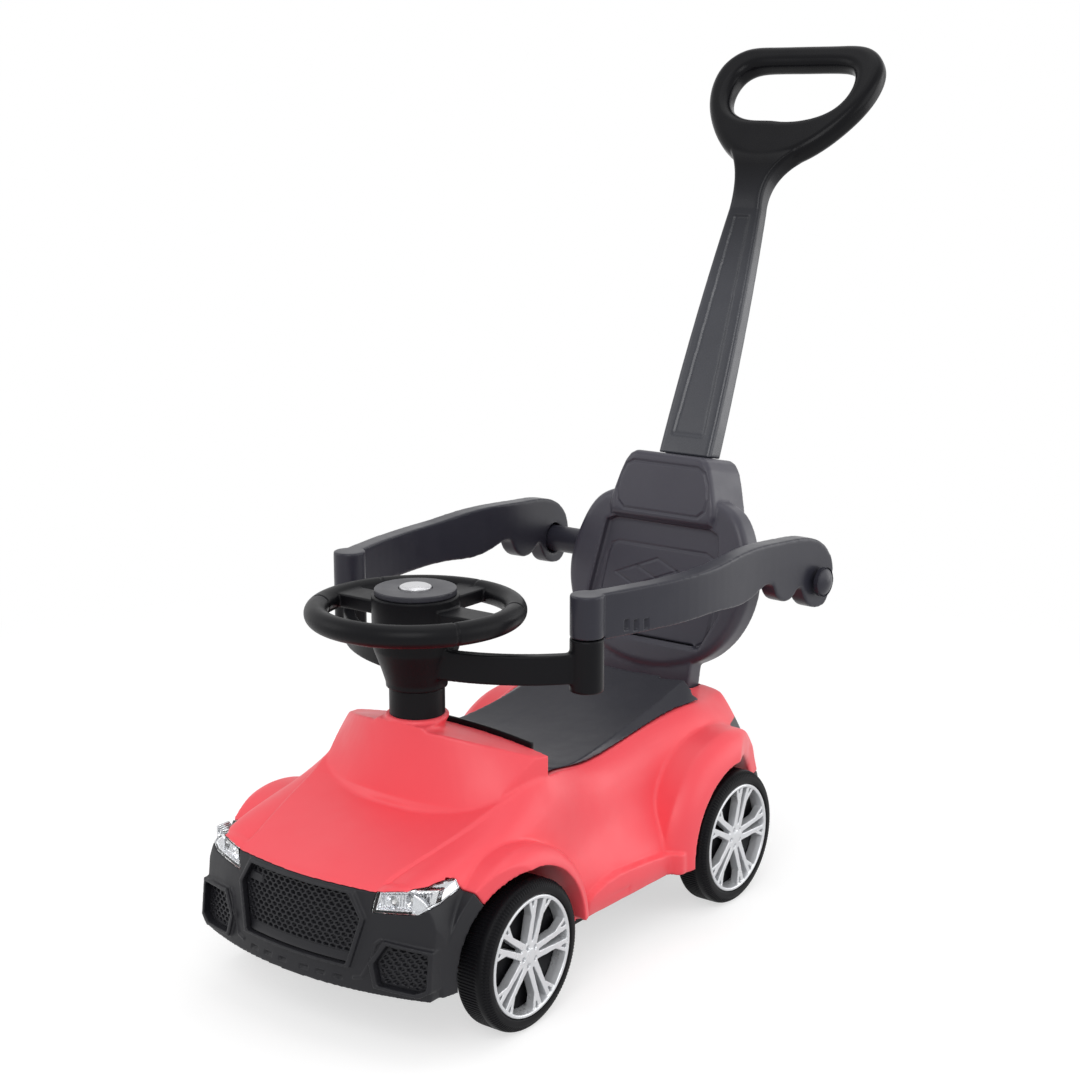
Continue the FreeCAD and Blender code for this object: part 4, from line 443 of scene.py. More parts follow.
def relax(mesh, weight, rounds):
    """Moves points towards the middle of their neighbours, each by its own weight."""
    edges = np.empty(len(mesh.edges) * 2, np.int64)
    mesh.edges.foreach_get("vertices", edges)
    first, second = edges.reshape(-1, 2).T
    chosen = (weight[first] > 0.0) | (weight[second] > 0.0)
    first, second = first[chosen], second[chosen]
    points = points_of(mesh)
    count = np.bincount(first, minlength=len(points)) + np.bincount(second, minlength=len(points))
    share = np.where(count > 0, weight, 0.0)
    count = np.maximum(count, 1)
    for _ in range(rounds):
        for axis in range(3):
            column = points[:, axis]
            total = np.bincount(first, column[second], len(points))
            total = total + np.bincount(second, column[first], len(points))
            points[:, axis] = column + share * 0.5 * (total / count - column)
    place_points(mesh, points)


def mirrored(line):
    """A line and its mirror image on the car's other side."""
    return (line, [(-corner[0], *corner[1:]) for corner in line])


MOULDINGS = (
    ("rear_bumper", "bumper_black", 1.8, 4),
    ("left_tail_lamp", "tail_lens", 0.9, 3),
    ("right_tail_lamp", "tail_lens", 0.9, 3),
    ("left_head_lamp_lens", "clear_lens", 0.7, 3),
    ("right_head_lamp_lens", "clear_lens", 0.7, 3),
    ("seat_lid", "seat_plastic", 1.2, 8),
    ("backrest", "back_moulding", 1.1, 26),
    ("backrest_cover", "back_moulding", 1.6, 8),
    ("push_handle", "handle", 1.5, 4),
    ("left_guard_arm", "charcoal", 1.1, 22),
    ("right_guard_arm", "charcoal", 1.1, 22),
    ("guard_front_rail", "black_plastic", 1.5, 4),
    ("guard_cross_tube", "charcoal", 1.5, 2),
    ("left_release_knob", "charcoal", 0.8, 18),
    ("right_release_knob", "charcoal", 0.8, 18),
    ("steering_wheel", "black_plastic", 1.1, 3),
    ("hub_cover", "seat_plastic", 0.8, 4),
    ("column_sleeve", "black_plastic", 1.2, 3),
    ("horn_button", "silver_plastic", 0.6, 3),
)
made = {}
for node, look, voxel, rounds in MOULDINGS:
    made[node] = moulded(node, look, voxel, rounds)


# Red body: the sills are thin walls that stand proud below a line.

SILL_OUT = 125.0
SILL_TOP = 96.0
SILL_REACH = 112.0
SILL_PROUD = 7.5
SILL_LINE = [(-80.0, 82.0), (-62.0, 91.0), (-40.0, 96.5), (-18.0, 98.0), (28.0, 95.0), (72.0, 91.0),
             (90.0, 90.0)]
SILL_EDGE = (-0.8, 1.2)
SILL_FACING = (0.2, 0.5)
SILL_START = (-84.0, -70.0)
SILL_END = (76.0, 90.0)


def thin_sill(middle, normal):
    side = 1.0 if middle.x > 0.0 else -1.0
    return (abs(middle.x) > SILL_OUT and middle.z < SILL_TOP and abs(middle.y) < SILL_REACH
            and normal.x * side > SILL_FACING[0])


body = made["body_shell"] = moulded("body_shell", "body_red", 1.6, 5, thin_sill)
points = points_of(body.data) / MM
normals = normals_of(body.data)
line_y, line_z = zip(*SILL_LINE)
sill_height = np.interp(points[:, 1], line_y, line_z)
outward = normals[:, 0] * np.sign(points[:, 0])
proud = ramp(sill_height - points[:, 2], *SILL_EDGE) * ramp(outward, *SILL_FACING)
proud *= np.abs(points[:, 0]) > SILL_OUT
proud *= ramp(points[:, 1], *SILL_START) * (1.0 - ramp(points[:, 1], *SILL_END))
points[:, 0] += np.sign(points[:, 0]) * proud * SILL_PROUD


# The cowl rises and bows forward in the middle, so that its ridge passes in front of the column.

COLUMN_Y = -150.0
STUB_REACH = 37.0
STUB_RISE = 14.0
STUB_BLEND = 6.0
COWL_HALF = 127.0
COWL_LOW = (-193.4, 200.0)
COWL_RIDGE = (-160.0, 253.0)
COWL_REAR = -100.0
RIDGE_BOW = 48.0
RIDGE_FALL = 11.0
RIDGE_SHIFT = (-22.0, 18.0)
COWL_WALL = 2.5
COWL_SOFT_REACH = (38.0, 48.0)
COWL_SOFT_FOOT = (202.0, 212.0)
COWL_SOFT_TOP = (264.0, 272.0)
COWL_ROUNDS = 10

across = np.clip(points[:, 0] / COWL_HALF, -1.0, 1.0) ** 2
ridge_y = COWL_RIDGE[0] + RIDGE_BOW * across
ridge_z = COWL_RIDGE[1] - RIDGE_FALL * across
share = np.clip((points[:, 2] - COWL_LOW[1]) / (ridge_z - COWL_LOW[1]), 0.0, 1.0)
share *= 1.0 - np.clip((points[:, 1] - ridge_y) / (COWL_REAR - ridge_y), 0.0, 1.0)
share *= 1.0 - across
off_column = points[:, :2] - np.array((0.0, COLUMN_Y))
from_column = np.hypot(off_column[:, 0], off_column[:, 1])
near_column = from_column < STUB_REACH
collar = near_column * ramp(points[:, 2], COWL_RIDGE[1], COWL_RIDGE[1] + STUB_BLEND)
inner = (np.einsum("ij,ij->i", off_column, normals[:, :2]) < 0.0) * COWL_WALL
points[:, 2] += (1.0 - collar) * RIDGE_SHIFT[1] * share + collar * STUB_RISE
points[:, 1] += (1.0 - collar) * RIDGE_SHIFT[0] * share
top_z = ridge_z + RIDGE_SHIFT[1] * (1.0 - across)
top_y = ridge_y + RIDGE_SHIFT[0] * (1.0 - across)
low_y = COWL_LOW[0] + RIDGE_BOW * across
risen = np.clip((points[:, 2] - COWL_LOW[1]) / (top_z - COWL_LOW[1]), 0.0, 1.0)
face_y = low_y + risen * (top_y - low_y)
front = near_column & (points[:, 2] > COWL_LOW[1]) & (points[:, 1] < COLUMN_Y)
points[:, 1] = np.where(front, np.maximum(points[:, 1], face_y + inner), points[:, 1])
place_points(body.data, points * MM)
soft = (1.0 - ramp(from_column, *COWL_SOFT_REACH)) * ramp(points[:, 2], *COWL_SOFT_FOOT)
soft *= 1.0 - ramp(points[:, 2], *COWL_SOFT_TOP)
relax(body.data, soft, COWL_ROUNDS)


# The rear corners are smoothed above the wings.

QUARTER_Y = (195.0, 225.0)
QUARTER_Z = (120.0, 140.0)
QUARTER_ROUNDS = 45

points = points_of(body.data) / MM
quarter = ramp(points[:, 1], *QUARTER_Y) * ramp(points[:, 2], *QUARTER_Z)
relax(body.data, quarter, QUARTER_ROUNDS)


# Each bonnet crease is a fold: the surface drops outside the line and meets the wing again.

BONNET_CREASE = [(87.5, -304.0), (91.0, -284.5), (98.6, -249.9), (104.8, -220.3), (110.0, -191.5),
                 (118.3, -151.9), (125.8, -105.0)]
CREASE_FOOT = 140.0
FOLD_DEPTH = 2.4
FOLD_EDGE = (-0.6, 2.4)
FOLD_END = (8.0, 44.0)
FOLD_FACING = (0.15, 0.4)
FOLD_FRONT = (-308.0, -296.0)
FOLD_REAR = (-125.0, -105.0)

points = points_of(body.data) / MM
crease_x, crease_y = zip(*BONNET_CREASE)
beyond = np.abs(points[:, 0]) - np.interp(points[:, 1], crease_y, crease_x)
fold = ramp(beyond, *FOLD_EDGE) * (1.0 - ramp(beyond, *FOLD_END))
fold *= ramp(normals_of(body.data)[:, 2], *FOLD_FACING)
fold *= ramp(points[:, 1], *FOLD_FRONT) * (1.0 - ramp(points[:, 1], *FOLD_REAR))
points[:, 2] -= FOLD_DEPTH * fold * (points[:, 2] > CREASE_FOOT)
place_points(body.data, points * MM)


# Backrest: lines pressed into the head panel and the lumbar panel, with a diamond pattern in the middle.

HEAD_LINE = [(44.0, 461.0), (54.0, 456.0), (60.0, 443.0), (62.5, 427.0), (60.0, 413.0), (51.0, 405.5)]
LUMBAR_LINE = [(61.0, 362.5), (70.5, 358.5), (74.5, 348.0), (79.0, 308.0), (77.0, 276.0), (72.0, 262.0),
               (61.0, 256.0)]
DIAMOND_MIDDLE = (-4.0, 326.0)
DIAMOND_HALF = (56.0, 23.0)
LINE_WIDTH = 2.3
LINE_DEPTH = 1.4
DIAMOND_SHARE = 0.85


def ring_of(half):
    """A closed outline from its half on one side of the car."""
    return half + [(-x, z) for x, z in reversed(half)]


def diamond_lines():
    """The sides of a diamond and the two lines that part it in four."""
    x, z = DIAMOND_MIDDLE
    wide, high = DIAMOND_HALF
    left, top, end, foot = (x - wide, z), (x, z + high), (x + wide, z), (x, z - high)
    half = 0.5
    upper_left = (x - wide * half, z + high * half)
    upper_right = (x + wide * half, z + high * half)
    lower_left = (x - wide * half, z - high * half)
    lower_right = (x + wide * half, z - high * half)
    return [left, top, end, foot, left], [upper_left, lower_right], [lower_left, upper_right]


back_rest = made["backrest"].data
front_points = points_of(back_rest)[:, [0, 2]] / MM
facing = normals_of(back_rest)[:, 1] < -0.5
engrave(back_rest, facing, line_distance(front_points, ring_of(HEAD_LINE), True), LINE_WIDTH, LINE_DEPTH)
engrave(back_rest, facing, line_distance(front_points, ring_of(LUMBAR_LINE), True), LINE_WIDTH, LINE_DEPTH)
for line in diamond_lines():
    engrave(back_rest, facing, line_distance(front_points, line), LINE_WIDTH * DIAMOND_SHARE,
            LINE_DEPTH * DIAMOND_SHARE)


# Guard arms: three small moulded slots in the outer face behind the front post.

SLOT_PLACES = ((-37.0, 370.0), (-25.0, 367.5), (-11.0, 366.0))
SLOT_HALF = (3.0, 5.4)
SLOT_DEPTH = 3.4

for side, sign in SIDES:
    arm = made[f"{side}_guard_arm"].data
    for along, height in SLOT_PLACES:
        points = points_of(arm)
        off = np.maximum(np.abs(points[:, 1] / MM - along) - SLOT_HALF[0],
                         np.abs(points[:, 2] / MM - height) - SLOT_HALF[1])
        outer = normals_of(arm)[:, 0] * sign > 0.3
        share = np.where(outer, 1.0 - ramp(off, -1.0, 0.4), 0.0)
        points[:, 0] -= sign * share * SLOT_DEPTH * MM
        place_points(arm, points)


# Seat lid: its underside and back edge stand clear of the tub and the hinge.

LID_EASE = 0.9
LID_FACING = (0.2, 0.5)

lid = made["seat_lid"].data
points = points_of(lid) / MM
normals = normals_of(lid)
points[:, 2] += LID_EASE * ramp(-normals[:, 2], *LID_FACING)
points[:, 1] -= LID_EASE * ramp(normals[:, 1], *LID_FACING)
place_points(lid, points * MM)


# A raised black lip on the back of the cowl, in front of the seat: it stays on the body when the lid opens.
# Its black is darker than the seat's and is partly painted shade of the gap behind the ridge.

COWL_LIP_ENDS = (-28.0, 106.0)
COWL_LIP_Y = (-101.5, -96.4)
COWL_LIP_FOOT = 226.0
COWL_LIP_RISE = 6.0
COWL_LIP_FALL = 1.0
COWL_LIP_STEPS = 42


def cowl_lip_with_painted_shade():
    verts = []
    for step in range(COWL_LIP_STEPS + 1):
        x = COWL_LIP_ENDS[0] + (COWL_LIP_ENDS[1] - COWL_LIP_ENDS[0]) * step / COWL_LIP_STEPS
        top = COWL_RIDGE[1] - RIDGE_FALL * (x / COWL_HALF) ** 2 + COWL_LIP_RISE
        front, back = COWL_LIP_Y
        for y, z in ((front, COWL_LIP_FOOT), (back, COWL_LIP_FOOT), (back, top - COWL_LIP_FALL), (front, top)):
            verts.append((x * MM, y * MM, z * MM))
    faces = [(0, 1, 2, 3), tuple(4 * COWL_LIP_STEPS + corner for corner in (3, 2, 1, 0))]
    for step in range(COWL_LIP_STEPS):
        for corner in range(4):
            after = (corner + 1) % 4
            faces.append((4 * step + corner, 4 * step + 4 + corner, 4 * step + 4 + after, 4 * step + after))
    mesh = bpy.data.meshes.new("cowl_lip_with_painted_shade")
    mesh.from_pydata(verts, [], faces)
    face_outward(mesh)
    piece = new_piece("cowl_lip_painted_shade", even_mesh(mesh, 0.9, 5))
    # The lip is real, but its deepest black, darker than the seat plastic, is painted shade standing in for
    # the shadow behind the ridge.
    return settle(piece, body_of("body_shell"), SLOT_OF["column_sleeve"], "black_plastic")


cowl_lip_with_painted_shade()


# Release knobs: the caps are domed.

DOME = 5.5
KNOB_RADIUS = 17.0

for side, sign in SIDES:
    knob = made[f"{side}_release_knob"].data
    points = points_of(knob) / MM
    low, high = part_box(f"{side}_release_knob")
    middle = (low + high) / 2 / MM
    off = np.hypot(points[:, 1] - middle[1], points[:, 2] - middle[2]) / KNOB_RADIUS
    outer = ramp(normals_of(knob)[:, 0] * sign, 0.0, 0.6)
    points[:, 0] -= sign * outer * DOME * np.clip(off, 0.0, 1.0) ** 2
    place_points(knob, points * MM)


# Steering wheel: seams across the rim where the grip covers meet.

WHEEL_MIDDLE = (0.0, -150.0)
SEAMS = (-62.0, 62.0, 118.0, -118.0, 180.0)
RIM_FROM = 84.0
SEAM_NEAR = 8.0
SEAM_WIDTH = 2.2
SEAM_DEPTH = 0.8

wheel = made["steering_wheel"].data
points = points_of(wheel) / MM
turned = points[:, :2] - np.array(WHEEL_MIDDLE)
reach = np.hypot(turned[:, 0], turned[:, 1])
bearing = np.degrees(np.arctan2(turned[:, 0], -turned[:, 1]))
for seam in SEAMS:
    off = np.abs((bearing - seam + 180.0) % 360.0 - 180.0)
    near = (reach > RIM_FROM) & (off < SEAM_NEAR)
    engrave(wheel, near, np.radians(off) * reach, SEAM_WIDTH, SEAM_DEPTH)


# Nose: the mesh sheets and the lamps stand on the bowed, leaning face of the bumper.

NOSE = -338.0
NOSE_FOOT = 66.0
NOSE_LEAN = math.tan(math.radians(7.0))
NOSE_HALF = 147.0
NOSE_BOW = 28.8


def nose_points(x, z, depth):
    """Points at a depth behind the face of the nose."""
    y = NOSE + (z - NOSE_FOOT) * NOSE_LEAN + NOSE_BOW * (x / NOSE_HALF) ** 2 + depth
    return np.stack([x, y, z], -1)


def outline_points(origin, size, shares):
    return [(origin[0] + size[0] * x, origin[1] + size[1] * z) for x, z in shares]


def sheet_piece(name, front, back, keep):
    """A closed sheet between two grids of points, with only the kept cells."""
    rows, columns = keep.shape
    index = np.arange((rows + 1) * (columns + 1)).reshape(rows + 1, columns + 1)
    corners = [index[:-1, :-1], index[:-1, 1:], index[1:, 1:], index[1:, :-1]]
    cells = np.stack([corner[keep] for corner in corners], -1)
    count = index.size
    faces = cells.tolist() + (cells[:, ::-1] + count).tolist()
    seen_edges = {}
    for a, b, c, d in cells.tolist():
        for edge in ((a, b), (b, c), (c, d), (d, a)):
            seen_edges[edge] = True
    for first, second in seen_edges:
        if (second, first) not in seen_edges:
            faces.append((second, first, first + count, second + count))
    points = np.concatenate([front.reshape(-1, 3), back.reshape(-1, 3)])
    used = np.unique(np.concatenate([np.ravel(face) for face in faces]))
    new_index = np.full(len(points), -1)
    new_index[used] = np.arange(len(used))
    mesh = bpy.data.meshes.new(name)
    mesh.from_pydata((points[used] * MM).tolist(), [], [[int(new_index[i]) for i in face] for face in faces])
    face_outward(mesh)
    return new_piece(name, mesh)


def grid_over(outline, step, margin):
    x = [corner[0] for corner in outline]
    z = [corner[1] for corner in outline]
    columns = np.arange(min(x) - margin, max(x) + margin + step, step)
    rows = np.arange(min(z) - margin, max(z) + margin + step, step)
    return np.meshgrid(columns, rows)


def kept_cells(depth):
    """Cells of a grid whose four corners are inside."""
    inside = depth > 0.0
    return inside[:-1, :-1] & inside[:-1, 1:] & inside[1:, 1:] & inside[1:, :-1]


MESH_PITCH = 8.0
MESH_ROW = 4.4
HOLE = 0.325
MESH_STEP = 0.5
SHEET_DEPTH = 3.4
POCKET = 2.8
SHEET_BACK = 7.2
SHEET_LAP = 2.0


def hex_pockets(x, z):
    """Share of the pocket depth: one inside each six-sided hole of a staggered mesh, zero on the ribs."""
    row_rise = math.sqrt(3.0) / 2.0
    u = x / MESH_PITCH
    v = z / MESH_ROW * row_rise
    nearest = np.full(np.shape(x), np.inf)
    for shift in (0.0, 1.0):
        row = 2.0 * np.round((v / row_rise - shift) / 2.0) + shift
        du = u - (np.round(u - 0.5 * shift) + 0.5 * shift)
        dv = v - row * row_rise
        slant = np.maximum(np.abs(du * 0.5 + dv * row_rise), np.abs(du * 0.5 - dv * row_rise))
        far = np.maximum(np.abs(du), slant)
        nearest = np.minimum(nearest, far)
    return 1.0 - ramp(nearest, HOLE - 0.05, HOLE + 0.03)


PLATE = [(-70.0, 138.5), (-49.0, 138.5), (-51.0, 147.0), (-68.0, 147.0)]
PLATE_RISE = 0.5


def mesh_grille(node, outline, band):
    """A mesh sheet behind an opening; the large one has a smooth hollow band below and a small bare plate."""
    x, z = grid_over(outline, MESH_STEP, SHEET_LAP + MESH_STEP)
    depth = inside_depth(x, z, outline)
    foot = min(corner[1] for corner in outline)
    above = z - foot
    pocket = hex_pockets(x, z) * ramp(depth, 1.4, 1.9) * (above > band + 1.0)
    if band:
        plate = inside_depth(x, z, PLATE)
        pocket = np.where(plate > -0.6, 0.0, pocket) - PLATE_RISE * ramp(plate, -0.3, 0.6)
    face = SHEET_DEPTH + POCKET * pocket
    if band:
        hollow = SHEET_DEPTH * np.sqrt(np.clip(above / band, 0.0, 1.0)) * 1.15
        inner = ramp(depth, 0.3, 0.8) * (above < band)
        face = face + inner * (hollow - SHEET_DEPTH)
    front = nose_points(x, z, face)
    back = nose_points(x, z, SHEET_BACK)
    piece = sheet_piece(node + "_mesh", front, back, kept_cells(depth + SHEET_LAP))
    settle(piece, body_of(node), SLOT_OF[node], "bumper_black", node)
    piece.data.set_sharp_from_angle(angle=math.radians(45.0))
    return piece


GRILLE_HALF = 76.0
GRILLE_Z = (90.0, 157.0)
GRILLE_SHARES = [(0.82, 1.0), (1.0, 0.67), (0.84, 0.0)]
GRILLE_BAND = 9.0
INTAKE_X = (93.0, 145.0)
INTAKE_Z = (74.0, 115.0)
INTAKE_SHARES = [(0.22, 1.0), (1.0, 0.92), (1.0, 0.12), (0.80, 0.0), (0.10, 0.06), (0.0, 0.52)]

grille_half = outline_points((0.0, GRILLE_Z[0]), (GRILLE_HALF, GRILLE_Z[1] - GRILLE_Z[0]), GRILLE_SHARES)
grille_outline = ring_of(grille_half)
made["front_grille"] = mesh_grille("front_grille", grille_outline, GRILLE_BAND)
intake_size = (INTAKE_X[1] - INTAKE_X[0], INTAKE_Z[1] - INTAKE_Z[0])
intake = outline_points((INTAKE_X[0], INTAKE_Z[0]), intake_size, INTAKE_SHARES)
for side, sign in SIDES:
    outline = [(sign * x, z) for x, z in intake]
    made[f"{side}_intake_grille"] = mesh_grille(f"{side}_intake_grille", outline, 0.0)


# Bumper: a thin blade beside each intake and small slots along the lower lip.

BLADE = [(72.0, 78.0), (80.0, 80.0), (88.0, 96.0), (92.0, 114.0), (97.0, 118.0)]
LIP_SLOTS = (14.0, 34.0, 54.0)
LIP_HEIGHT = 75.0
LIP_HALF = (5.0, 2.0)
LIP_DEPTH = 2.4
BLADE_WIDTH = 2.4
BLADE_RISE = 1.3

bumper = made["front_bumper"] = moulded("front_bumper", "bumper_black", 1.1, 4)
face_points = points_of(bumper.data)[:, [0, 2]] / MM
facing = normals_of(bumper.data)[:, 1] < -0.4
for line in mirrored(BLADE):
    engrave(bumper.data, facing, line_distance(face_points, line), BLADE_WIDTH, -BLADE_RISE)
points = points_of(bumper.data)
off = np.full(len(points), np.inf)
for place in LIP_SLOTS:
    off = np.minimum(off, np.maximum(np.abs(np.abs(face_points[:, 0]) - place) - LIP_HALF[0],
                                     np.abs(face_points[:, 1] - LIP_HEIGHT) - LIP_HALF[1]))
points[:, 1] += np.where(facing, 1.0 - ramp(off, -0.9, 0.4), 0.0) * LIP_DEPTH * MM
place_points(bumper.data, points)


# Head lamps: a bright fluted reflector with two bowls and their bulbs behind the clear lens.

LAMP_X = (85.0, 143.0)
LAMP_Z = (142.0, 170.0)
LAMP_SHARES = [(0.0, 0.0), (0.07, 0.70), (1.0, 1.0), (0.94, 0.40), (0.78, 0.16)]
LAMP_STEP = 0.5
LAMP_WALL = 3.4
BOWLS = ((101.0, 152.0, 6.6), (119.0, 156.6, 6.4))
BOWL_DEPTH = 6.5
FLUTE_PITCH = 3.2
FLUTE = 1.1
LAMP_FACE = 8.0
BOWL_RIM = LAMP_FACE - 1.4
LAMP_BACK = 20.0


def lamp_reflector(side, sign, outline):
    x, z = grid_over(outline, LAMP_STEP, LAMP_STEP)
    depth = inside_depth(x, z, outline)
    rim = 1.0 - ramp(depth, LAMP_WALL - 1.6, LAMP_WALL + 1.2)
    face = LAMP_FACE + FLUTE * np.cos(x * 2.0 * math.pi / FLUTE_PITCH)
    for bowl_x, bowl_z, radius in BOWLS:
        off = np.hypot(x - sign * bowl_x, z - bowl_z) / radius
        bowl = BOWL_RIM + BOWL_DEPTH * (1.0 - np.clip(off, 0.0, 1.0) ** 2)
        face = np.where(off < 1.0, bowl, face)
    face = face * (1.0 - rim) + (SHEET_DEPTH + 0.4) * rim
    node = f"{side}_head_lamp_reflector"
    front = nose_points(x, z, face)
    back = nose_points(x, z, LAMP_BACK)
    piece = sheet_piece(node + "_fluted", front, back, kept_cells(depth - LAMP_WALL + 1.8))
    return settle(piece, body_of(node), SLOT_OF[node], "reflector", node)


BACKING_FROM = 122.0
BACKING_SHIFT = (-1.2, 4.0, -2.2)


def lamp_backing(side, sign):
    """The outer end of the reflector, which follows the lens round the corner of the nose."""
    node = f"{side}_head_lamp_lens"
    mesh = soft_mesh(node, 0.8, 2)
    shape = bmesh.new()
    shape.from_mesh(mesh)
    inward, back, down = BACKING_SHIFT
    bmesh.ops.translate(shape, verts=shape.verts, vec=(sign * inward * MM, back * MM, down * MM))
    parts = shape.verts[:] + shape.edges[:] + shape.faces[:]
    start = (sign * BACKING_FROM * MM, 0.0, 0.0)
    bmesh.ops.bisect_plane(shape, geom=parts, plane_co=start, plane_no=(sign, 0.0, 0.0), clear_inner=True)
    bmesh.ops.holes_fill(shape, edges=shape.edges[:])
    shape.to_mesh(mesh)
    shape.free()
    piece = new_piece(f"{side}_head_lamp_backing", mesh)
    return settle(piece, body_of(node), "reflector", "reflector")


BULB_PROFILE = [(0.30, 0.0), (0.42, 0.0), (0.42, 0.22), (0.30, 0.26), (0.36, 0.45), (0.34, 0.62),
                (0.22, 0.76), (0.0, 0.82)]
BULB_TURNS = 24


def bulb(name, sign, bowl):
    """A small glazed bulb on a collar in the bottom of its bowl."""
    bowl_x, bowl_z, radius = bowl
    rows = BULB_PROFILE
    turns = BULB_TURNS
    verts = []
    faces = []
    middle = nose_points(np.array(sign * bowl_x), np.array(bowl_z), BOWL_RIM + BOWL_DEPTH)
    for share, rise in rows:
        for turn in range(turns):
            angle = 2.0 * math.pi * turn / turns
            wide = share * radius
            spot = middle + np.array([wide * math.cos(angle), -rise * radius, wide * math.sin(angle)])
            verts.append(tuple(spot * MM))
    for row in range(len(rows) - 1):
        for turn in range(turns):
            after = (turn + 1) % turns
            low, high = row * turns, (row + 1) * turns
            faces.append((low + turn, low + after, high + after, high + turn))
    faces.append(tuple(range(turns)))
    mesh = bpy.data.meshes.new(name)
    mesh.from_pydata(verts, [], faces)
    face_outward(mesh, True)
    return settle(new_piece(name, mesh), "car", "reflector", "bulb")


lamp = outline_points((LAMP_X[0], LAMP_Z[0]), (LAMP_X[1] - LAMP_X[0], LAMP_Z[1] - LAMP_Z[0]), LAMP_SHARES)
for side, sign in SIDES:
    outline = [(sign * x, z) for x, z in lamp]
    made[f"{side}_head_lamp_reflector"] = lamp_reflector(side, sign, outline)
    lamp_backing(side, sign)
    for order, bowl in enumerate(BOWLS):
        bulb(f"{side}_head_lamp_bulb_{order}", sign, bowl)


# Rims: five twin spokes with forked ends on a small hub with five nut holes.

RIM_WIDTH = 15.0
RIM_TURNS = 96
RIM_PROFILE = [(60.5, 0.0), (60.5, 14.0), (59.4, 15.0), (57.6, 15.0), (56.6, 14.2), (55.6, 8.0), (55.0, 1.0),
               (55.0, 0.0)]
HUB_PROFILE = [(0.0, 2.0), (15.0, 2.0), (15.0, 10.4), (13.8, 11.4), (7.6, 11.9), (7.0, 12.5), (0.0, 12.7)]
SPOKES = 5
SPOKE_STEP = 72.0
SPOKE_TURN = 3.0
SPOKE_START = (10.0, 26.0)
SPOKE_REACH = 57.2
SPOKE_WIDTHS = (7.0, 4.8)
SPOKE_TOPS = (11.4, 13.6)
SPOKE_BED = 3.0
FORK_AT = 0.62
FORK_WIDTHS = (3.8, 3.6)
FORK_TOPS = (12.4, 13.6)
FORK_BED = 4.0
BAR_FOOT = 0.62
BAR_TOP = 0.5
SPOKE_SPREAD = 7.5
FORK_SPREAD = 17.0
NUT_RING = 9.8
NUT_RADIUS = 2.4
NUT_DEPTH = 4.0


def lathe(shape, profile, turns, closed):
    """Turns a section of radius and height points about the wheel's axis into a closed ring or plug."""
    rings = []
    for radius, height in profile:
        if radius == 0.0:
            rings.append([shape.verts.new((0.0, 0.0, height))])
            continue
        rings.append([shape.verts.new((radius * math.cos(2.0 * math.pi * turn / turns),
                                       radius * math.sin(2.0 * math.pi * turn / turns), height))
                      for turn in range(turns)])
    pairs = list(zip(rings, rings[1:]))
    if closed:
        pairs.append((rings[-1], rings[0]))
    for lower, upper in pairs:
        for turn in range(turns):
            after = (turn + 1) % turns
            ring = [lower[turn % len(lower)], lower[after % len(lower)], upper[after % len(upper)],
                    upper[turn % len(upper)]]
            shape.faces.new(list(dict.fromkeys(ring)))


def bar(shape, start, end, widths, tops, foot):
    """A tapered spoke bar between two points of the wheel's face."""
    start = Vector(start)
    end = Vector(end)
    across = (end - start).normalized().orthogonal()
    corners = []
    for spot, width, top in ((start, widths[0], tops[0]), (end, widths[1], tops[1])):
        for shift, height in ((-BAR_FOOT, foot), (BAR_FOOT, foot), (BAR_TOP, top), (-BAR_TOP, top)):
            edge = spot + across * shift * width
            corners.append(shape.verts.new((edge.x, edge.y, height)))
    for ring in ((0, 1, 2, 3), (7, 6, 5, 4), (0, 4, 5, 1), (1, 5, 6, 2), (2, 6, 7, 3), (3, 7, 4, 0)):
        shape.faces.new([corners[i] for i in ring])


def polar(radius, degrees):
    angle = math.radians(degrees)
    return (radius * math.cos(angle), radius * math.sin(angle))


def rim_mesh():
    """One rim about its own axis, its outer face at the top."""
    shape = bmesh.new()
    lathe(shape, RIM_PROFILE, RIM_TURNS, True)
    lathe(shape, HUB_PROFILE, RIM_TURNS, False)
    for spoke in range(SPOKES):
        middle = SPOKE_TURN + SPOKE_STEP * spoke
        for hand in (-1.0, 1.0):
            start = polar(SPOKE_START[0], middle + hand * SPOKE_START[1])
            end = polar(SPOKE_REACH, middle + hand * SPOKE_SPREAD)
            bar(shape, start, end, SPOKE_WIDTHS, SPOKE_TOPS, SPOKE_BED)
            split = Vector(start).lerp(Vector(end), FORK_AT)
            fork = polar(SPOKE_REACH, middle + hand * FORK_SPREAD)
            bar(shape, tuple(split), fork, FORK_WIDTHS, FORK_TOPS, FORK_BED)
    bmesh.ops.recalc_face_normals(shape, faces=shape.faces)
    bmesh.ops.scale(shape, vec=(MM, MM, MM), verts=shape.verts)
    mesh = bpy.data.meshes.new("rim")
    shape.to_mesh(mesh)
    shape.free()
    mesh = even_mesh(mesh, 0.6, 3)
    points = points_of(mesh) / MM
    normals = normals_of(mesh)
    off = np.full(len(points), np.inf)
    for nut in range(SPOKES):
        spot = polar(NUT_RING, SPOKE_TURN + SPOKE_STEP / 2 + SPOKE_STEP * nut)
        off = np.minimum(off, np.hypot(points[:, 0] - spot[0], points[:, 1] - spot[1]))
    sunk = 1.0 - ramp(off, NUT_RADIUS - 0.7, NUT_RADIUS + 0.3)
    points[:, 2] -= np.where(normals[:, 2] > 0.4, sunk, 0.0) * NUT_DEPTH
    place_points(mesh, points * MM)
    return mesh


def fitted_rim(node, side, master):
    """A copy of the rim set on its wheel: the outer face looks away from the car."""
    low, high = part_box(node)
    middle = (low + high) / 2
    own = points_of(master)
    outer = high[0] if side > 0 else low[0]
    x = outer + side * (own[:, 2] - RIM_WIDTH * MM)
    mesh = master.copy()
    place_points(mesh, np.stack([x, middle[1] + own[:, 0], middle[2] + own[:, 1]], -1))
    if side < 0:
        mesh.flip_normals()
    piece = new_piece(node + "_spoked", mesh)
    return settle(piece, body_of(node), SLOT_OF[node], "rim_silver", node)


